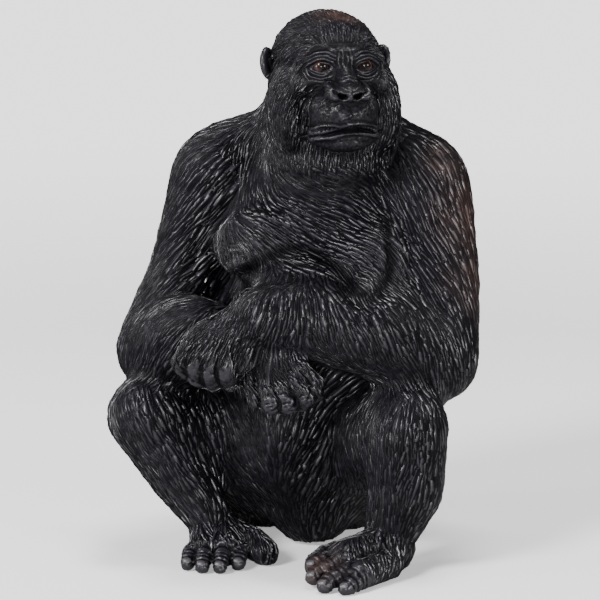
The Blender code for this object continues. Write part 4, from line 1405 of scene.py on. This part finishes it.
def coatFinish():
    finish = Finish("carved_coat")
    place = finish.place()
    tone = finish.attribute("tone")
    along = finish.attribute("along")
    across = finish.attribute("across")
    crest = 1.0 - across.maths("ABSOLUTE", across)
    mottle = finish.noise(place, plastic["mottle"], 3.0)
    # painted shade: the colour and the gloss are darkened in the creases under the breasts
    lit = 1.0 - finish.attribute("shade")
    # the paint is lighter along each lock's crest and black down its sides: partly dry-brushed wear, partly
    # painted highlight on the crests and painted shade in the grooves
    wornAndPaintedLight = (crest * (0.35 + tone * 0.75) + mottle * 0.6 - 0.3).clamped() * lit
    colour = finish.mix(wornAndPaintedLight, plastic["black"], plastic["wornAndPaintedLight"])
    brushed = markings(finish, place, mottle) * (0.25 + crest * 0.9).clamped()
    colour = finish.mix(brushed.clamped(), colour, plastic["brown"])
    wave = across * 9.0 + along * 2.0
    strands = wave.maths("SINE", wave) * 0.5 + 0.5
    grain = finish.noise(place, plastic["grain"], 2.0)
    normal = finish.bump(strands * 0.6 + grain * 0.5, plastic["grainDepth"], 0.7)
    weight = (crest * 1.5 - 0.3 + (mottle - 0.5) * 0.8).clamped() * lit
    glossy(finish, weight * plastic["gloss"], colour, normal)
    return finish.material


def skinFinish():
    finish = Finish("bare_skin")
    place = finish.place()
    mottle = finish.noise(place, plastic["mottle"], 3.0)
    pores = finish.noise(place, plastic["pores"], 3.0, 0.6)
    crest = finish.attribute("crest")
    # the paint is lighter where the skin stands proud and black in its grooves and creases: partly wear,
    # partly painted highlight and painted shade
    colour = finish.mix((crest * 1.9 + mottle * 0.3 - 0.95).clamped(), plastic["black"], plastic["skinWornAndPaintedLight"])
    colour = finish.mix(markings(finish, place, mottle), colour, plastic["brown"])
    normal = finish.bump(pores, plastic["poreDepth"], 0.7)
    weight = (crest * 2.5 - 1.05 + (mottle - 0.5) * 0.3).clamped() * plastic["skinGloss"]
    glossy(finish, weight, colour, normal)
    return finish.material


eyeLook = {
    "iris": 0.68, "pupil": 0.36,                 # radii, in millimetres
    "white": (0.022, 0.011, 0.010, 1.0),
    "brown": (0.0085, 0.0036, 0.0032, 1.0),
    "black": (0.002, 0.002, 0.002, 1.0),
    "gaze": (0.35, -1.0, -0.02),
    "soften": (0.12, 0.1),                       # widths of the iris's and the pupil's rims
    "roughness": 0.17,
    "specular": 0.13,
}


def eyeFinish(side):
    finish = Finish("eye_" + side + "_paint")
    gaze = np.array(eyeLook["gaze"]) / np.linalg.norm(eyeLook["gaze"])
    centre = toFrame(np.array(eyePlace(side)) + gaze * pose["eyeRadius"])
    away = finish.distance(finish.place(), tuple(centre)) * 1000.0
    iris = (1.0 - (away - eyeLook["iris"]) / eyeLook["soften"][0]).clamped()
    pupil = (1.0 - (away - eyeLook["pupil"]) / eyeLook["soften"][1]).clamped()
    colour = finish.mix(iris, eyeLook["white"], eyeLook["brown"])
    colour = finish.mix(pupil, colour, eyeLook["black"])
    finish.feed(Base_Color=colour, Roughness=eyeLook["roughness"], Specular_IOR_Level=eyeLook["specular"])
    return finish.material


def makeEyes():
    for side in ("right", "left"):
        work = bmesh.new()
        bmesh.ops.create_uvsphere(work, u_segments=48, v_segments=32, radius=pose["eyeRadius"],
                                  matrix=Matrix.Translation(eyePlace(side)))
        mesh = meshOf(work, "eyeball_" + side)
        setPoints(mesh, toFrame(pointsOf(mesh)))
        mesh.shade_smooth()
        eye = newObject("eyeball_" + side, mesh)
        mesh.materials.append(eyeFinish(side))
        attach(eye, "root")
        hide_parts("eye_" + side)


# small plates set into the tips of the toes
nail = {
    "radii": (0.62, 0.46, 0.2),
    "reach": 1.04,                      # from the tip's middle
    "forward": 0.6,                     # how much the nails turn to the front, and face up
    "rise": 0.8,
    "colour": (0.030, 0.027, 0.029, 1.0),
    "roughness": 0.4,
    "specular": 0.3,
    "streaks": 5200.0,
    "streakDepth": 0.00004,
}


def makeNails():
    finish = Finish("toenail")
    streak = finish.noise(finish.place(), nail["streaks"], 2.0)
    colour = finish.mix(streak, plastic["wornAndPaintedLight"], nail["colour"])
    normal = finish.bump(streak, nail["streakDepth"], 0.4)
    finish.feed(Base_Color=colour, Roughness=nail["roughness"], Specular_IOR_Level=nail["specular"],
                Normal=normal)
    work = bmesh.new()
    for _, bend, tip in rightToes + leftToes:
        ahead = Vector(tip) - Vector(bend)
        ahead = Vector((ahead.x, ahead.y - nail["forward"], 0.0)).normalized()
        facing = (ahead + Vector((0.0, 0.0, nail["rise"]))).normalized()
        centre = Vector(tip) + facing * nail["reach"] - Vector((0.0, 0.0, pose["footSink"]))
        addBall(work, centre, Vector(nail["radii"]), facing.to_track_quat("Z", "Y"))
    mesh = meshOf(work, "toenails")
    setPoints(mesh, toFrame(pointsOf(mesh)))
    mesh.shade_smooth()
    mesh.materials.append(finish.material)
    nails = newObject("toenails", mesh)
    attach(nails, "root")


view = {"azimuth": 8.0, "elevation": 11.0, "distance": 450.0, "target": (0.0, 0.0, 34.3), "lens": 194.1}


def makeCamera():
    azimuth, elevation = math.radians(view["azimuth"]), math.radians(view["elevation"])
    level = math.cos(elevation)
    back = Vector((math.sin(azimuth) * level, -math.cos(azimuth) * level, math.sin(elevation)))
    camera = bpy.data.objects.new("camera", bpy.data.cameras.new("camera"))
    bpy.context.scene.collection.objects.link(camera)
    camera.data.lens = view["lens"]
    camera.data.sensor_width = 36.0
    camera.data.clip_start = 0.01
    target = Vector(toFrame(view["target"]))
    camera.location = target + back * view["distance"] * 0.001
    camera.rotation_euler = (-back).to_track_quat("-Z", "Y").to_euler()
    bpy.context.scene.camera = camera


lights = {
    # name: place in metres, size, watts
    "key": ((-0.26, -0.36, 0.34), 0.16, 6.8),
    "front": ((0.06, -0.60, 0.08), 0.14, 4.6),
    "sideRight": ((0.46, -0.26, 0.12), 0.16, 3.6),
    "sideLeft": ((-0.50, -0.20, 0.10), 0.16, 3.2),
    "top": ((0.04, 0.02, 0.52), 0.16, 3.2),
    "rimRight": ((0.36, 0.20, 0.26), 0.12, 0.8),
    "rimLeft": ((-0.38, 0.18, 0.22), 0.12, 0.8),
}
studio = {
    "ambient": 0.04,
    "backdrop": 2.2,
    "aim": (0.0, 0.0, 0.04),
    "floor": (0.60, 0.60, 0.60, 1.0),
    "floorRadius": 0.42,
    "floorFade": 0.16,                  # where the floor starts to fade
    "floorAlpha": 0.85,
    "floorDrop": 0.0001,
}


def makeLights():
    middle = Vector(studio["aim"])
    for name, (place, size, watts) in lights.items():
        lamp = bpy.data.lights.new(name, "AREA")
        lamp.shape = "DISK"
        lamp.size = size
        lamp.energy = watts
        holder = bpy.data.objects.new(name, lamp)
        bpy.context.scene.collection.objects.link(holder)
        holder.location = place
        holder.rotation_euler = (middle - Vector(place)).to_track_quat("-Z", "Y").to_euler()
    world = bpy.data.worlds.new("studio")
    world.use_nodes = True
    maker = Socket(world.node_tree)
    seen = maker.make("ShaderNodeLightPath", output="Is Camera Ray")
    ground = world.node_tree.nodes["Background"].inputs
    maker.set(ground["Color"], (1.0, 1.0, 1.0, 1.0))
    maker.set(ground["Strength"], studio["ambient"] + seen * (studio["backdrop"] - studio["ambient"]))
    bpy.context.scene.world = world


def makeFloor():
    # a round pale floor that fades into the backdrop
    work = bmesh.new()
    bmesh.ops.create_circle(work, cap_ends=True, segments=96, radius=studio["floorRadius"])
    mesh = meshOf(work, "floor")
    floor = newObject("floor", mesh)
    floor.location.z = -studio["floorDrop"]
    finish = Finish("pale_floor")
    away = finish.distance(finish.place(), (0.0, 0.0, 0.0))
    fade = ((studio["floorRadius"] - away) / (studio["floorRadius"] - studio["floorFade"])).clamped()
    finish.feed(Base_Color=studio["floor"], Roughness=0.8, Alpha=fade * fade * studio["floorAlpha"])
    mesh.materials.append(finish.material)


def main():
    makeCamera()
    makeFloor()
    makeLights()
    body = makeSkin()
    makeCoat(body, coatFinish())
    bare = bareness(pointsOf(body.data))
    storeCrests(body.data)
    thinSkin(body, bare)
    setPoints(body.data, toFrame(pointsOf(body.data)))
    body.data.shade_smooth()
    body.data.materials.append(skinFinish())
    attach(body, "root")
    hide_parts(*[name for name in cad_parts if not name.startswith("eye")])
    say(f"skin thinned to {len(body.data.polygons)} faces")
    makeEyes()
    makeNails()


main()
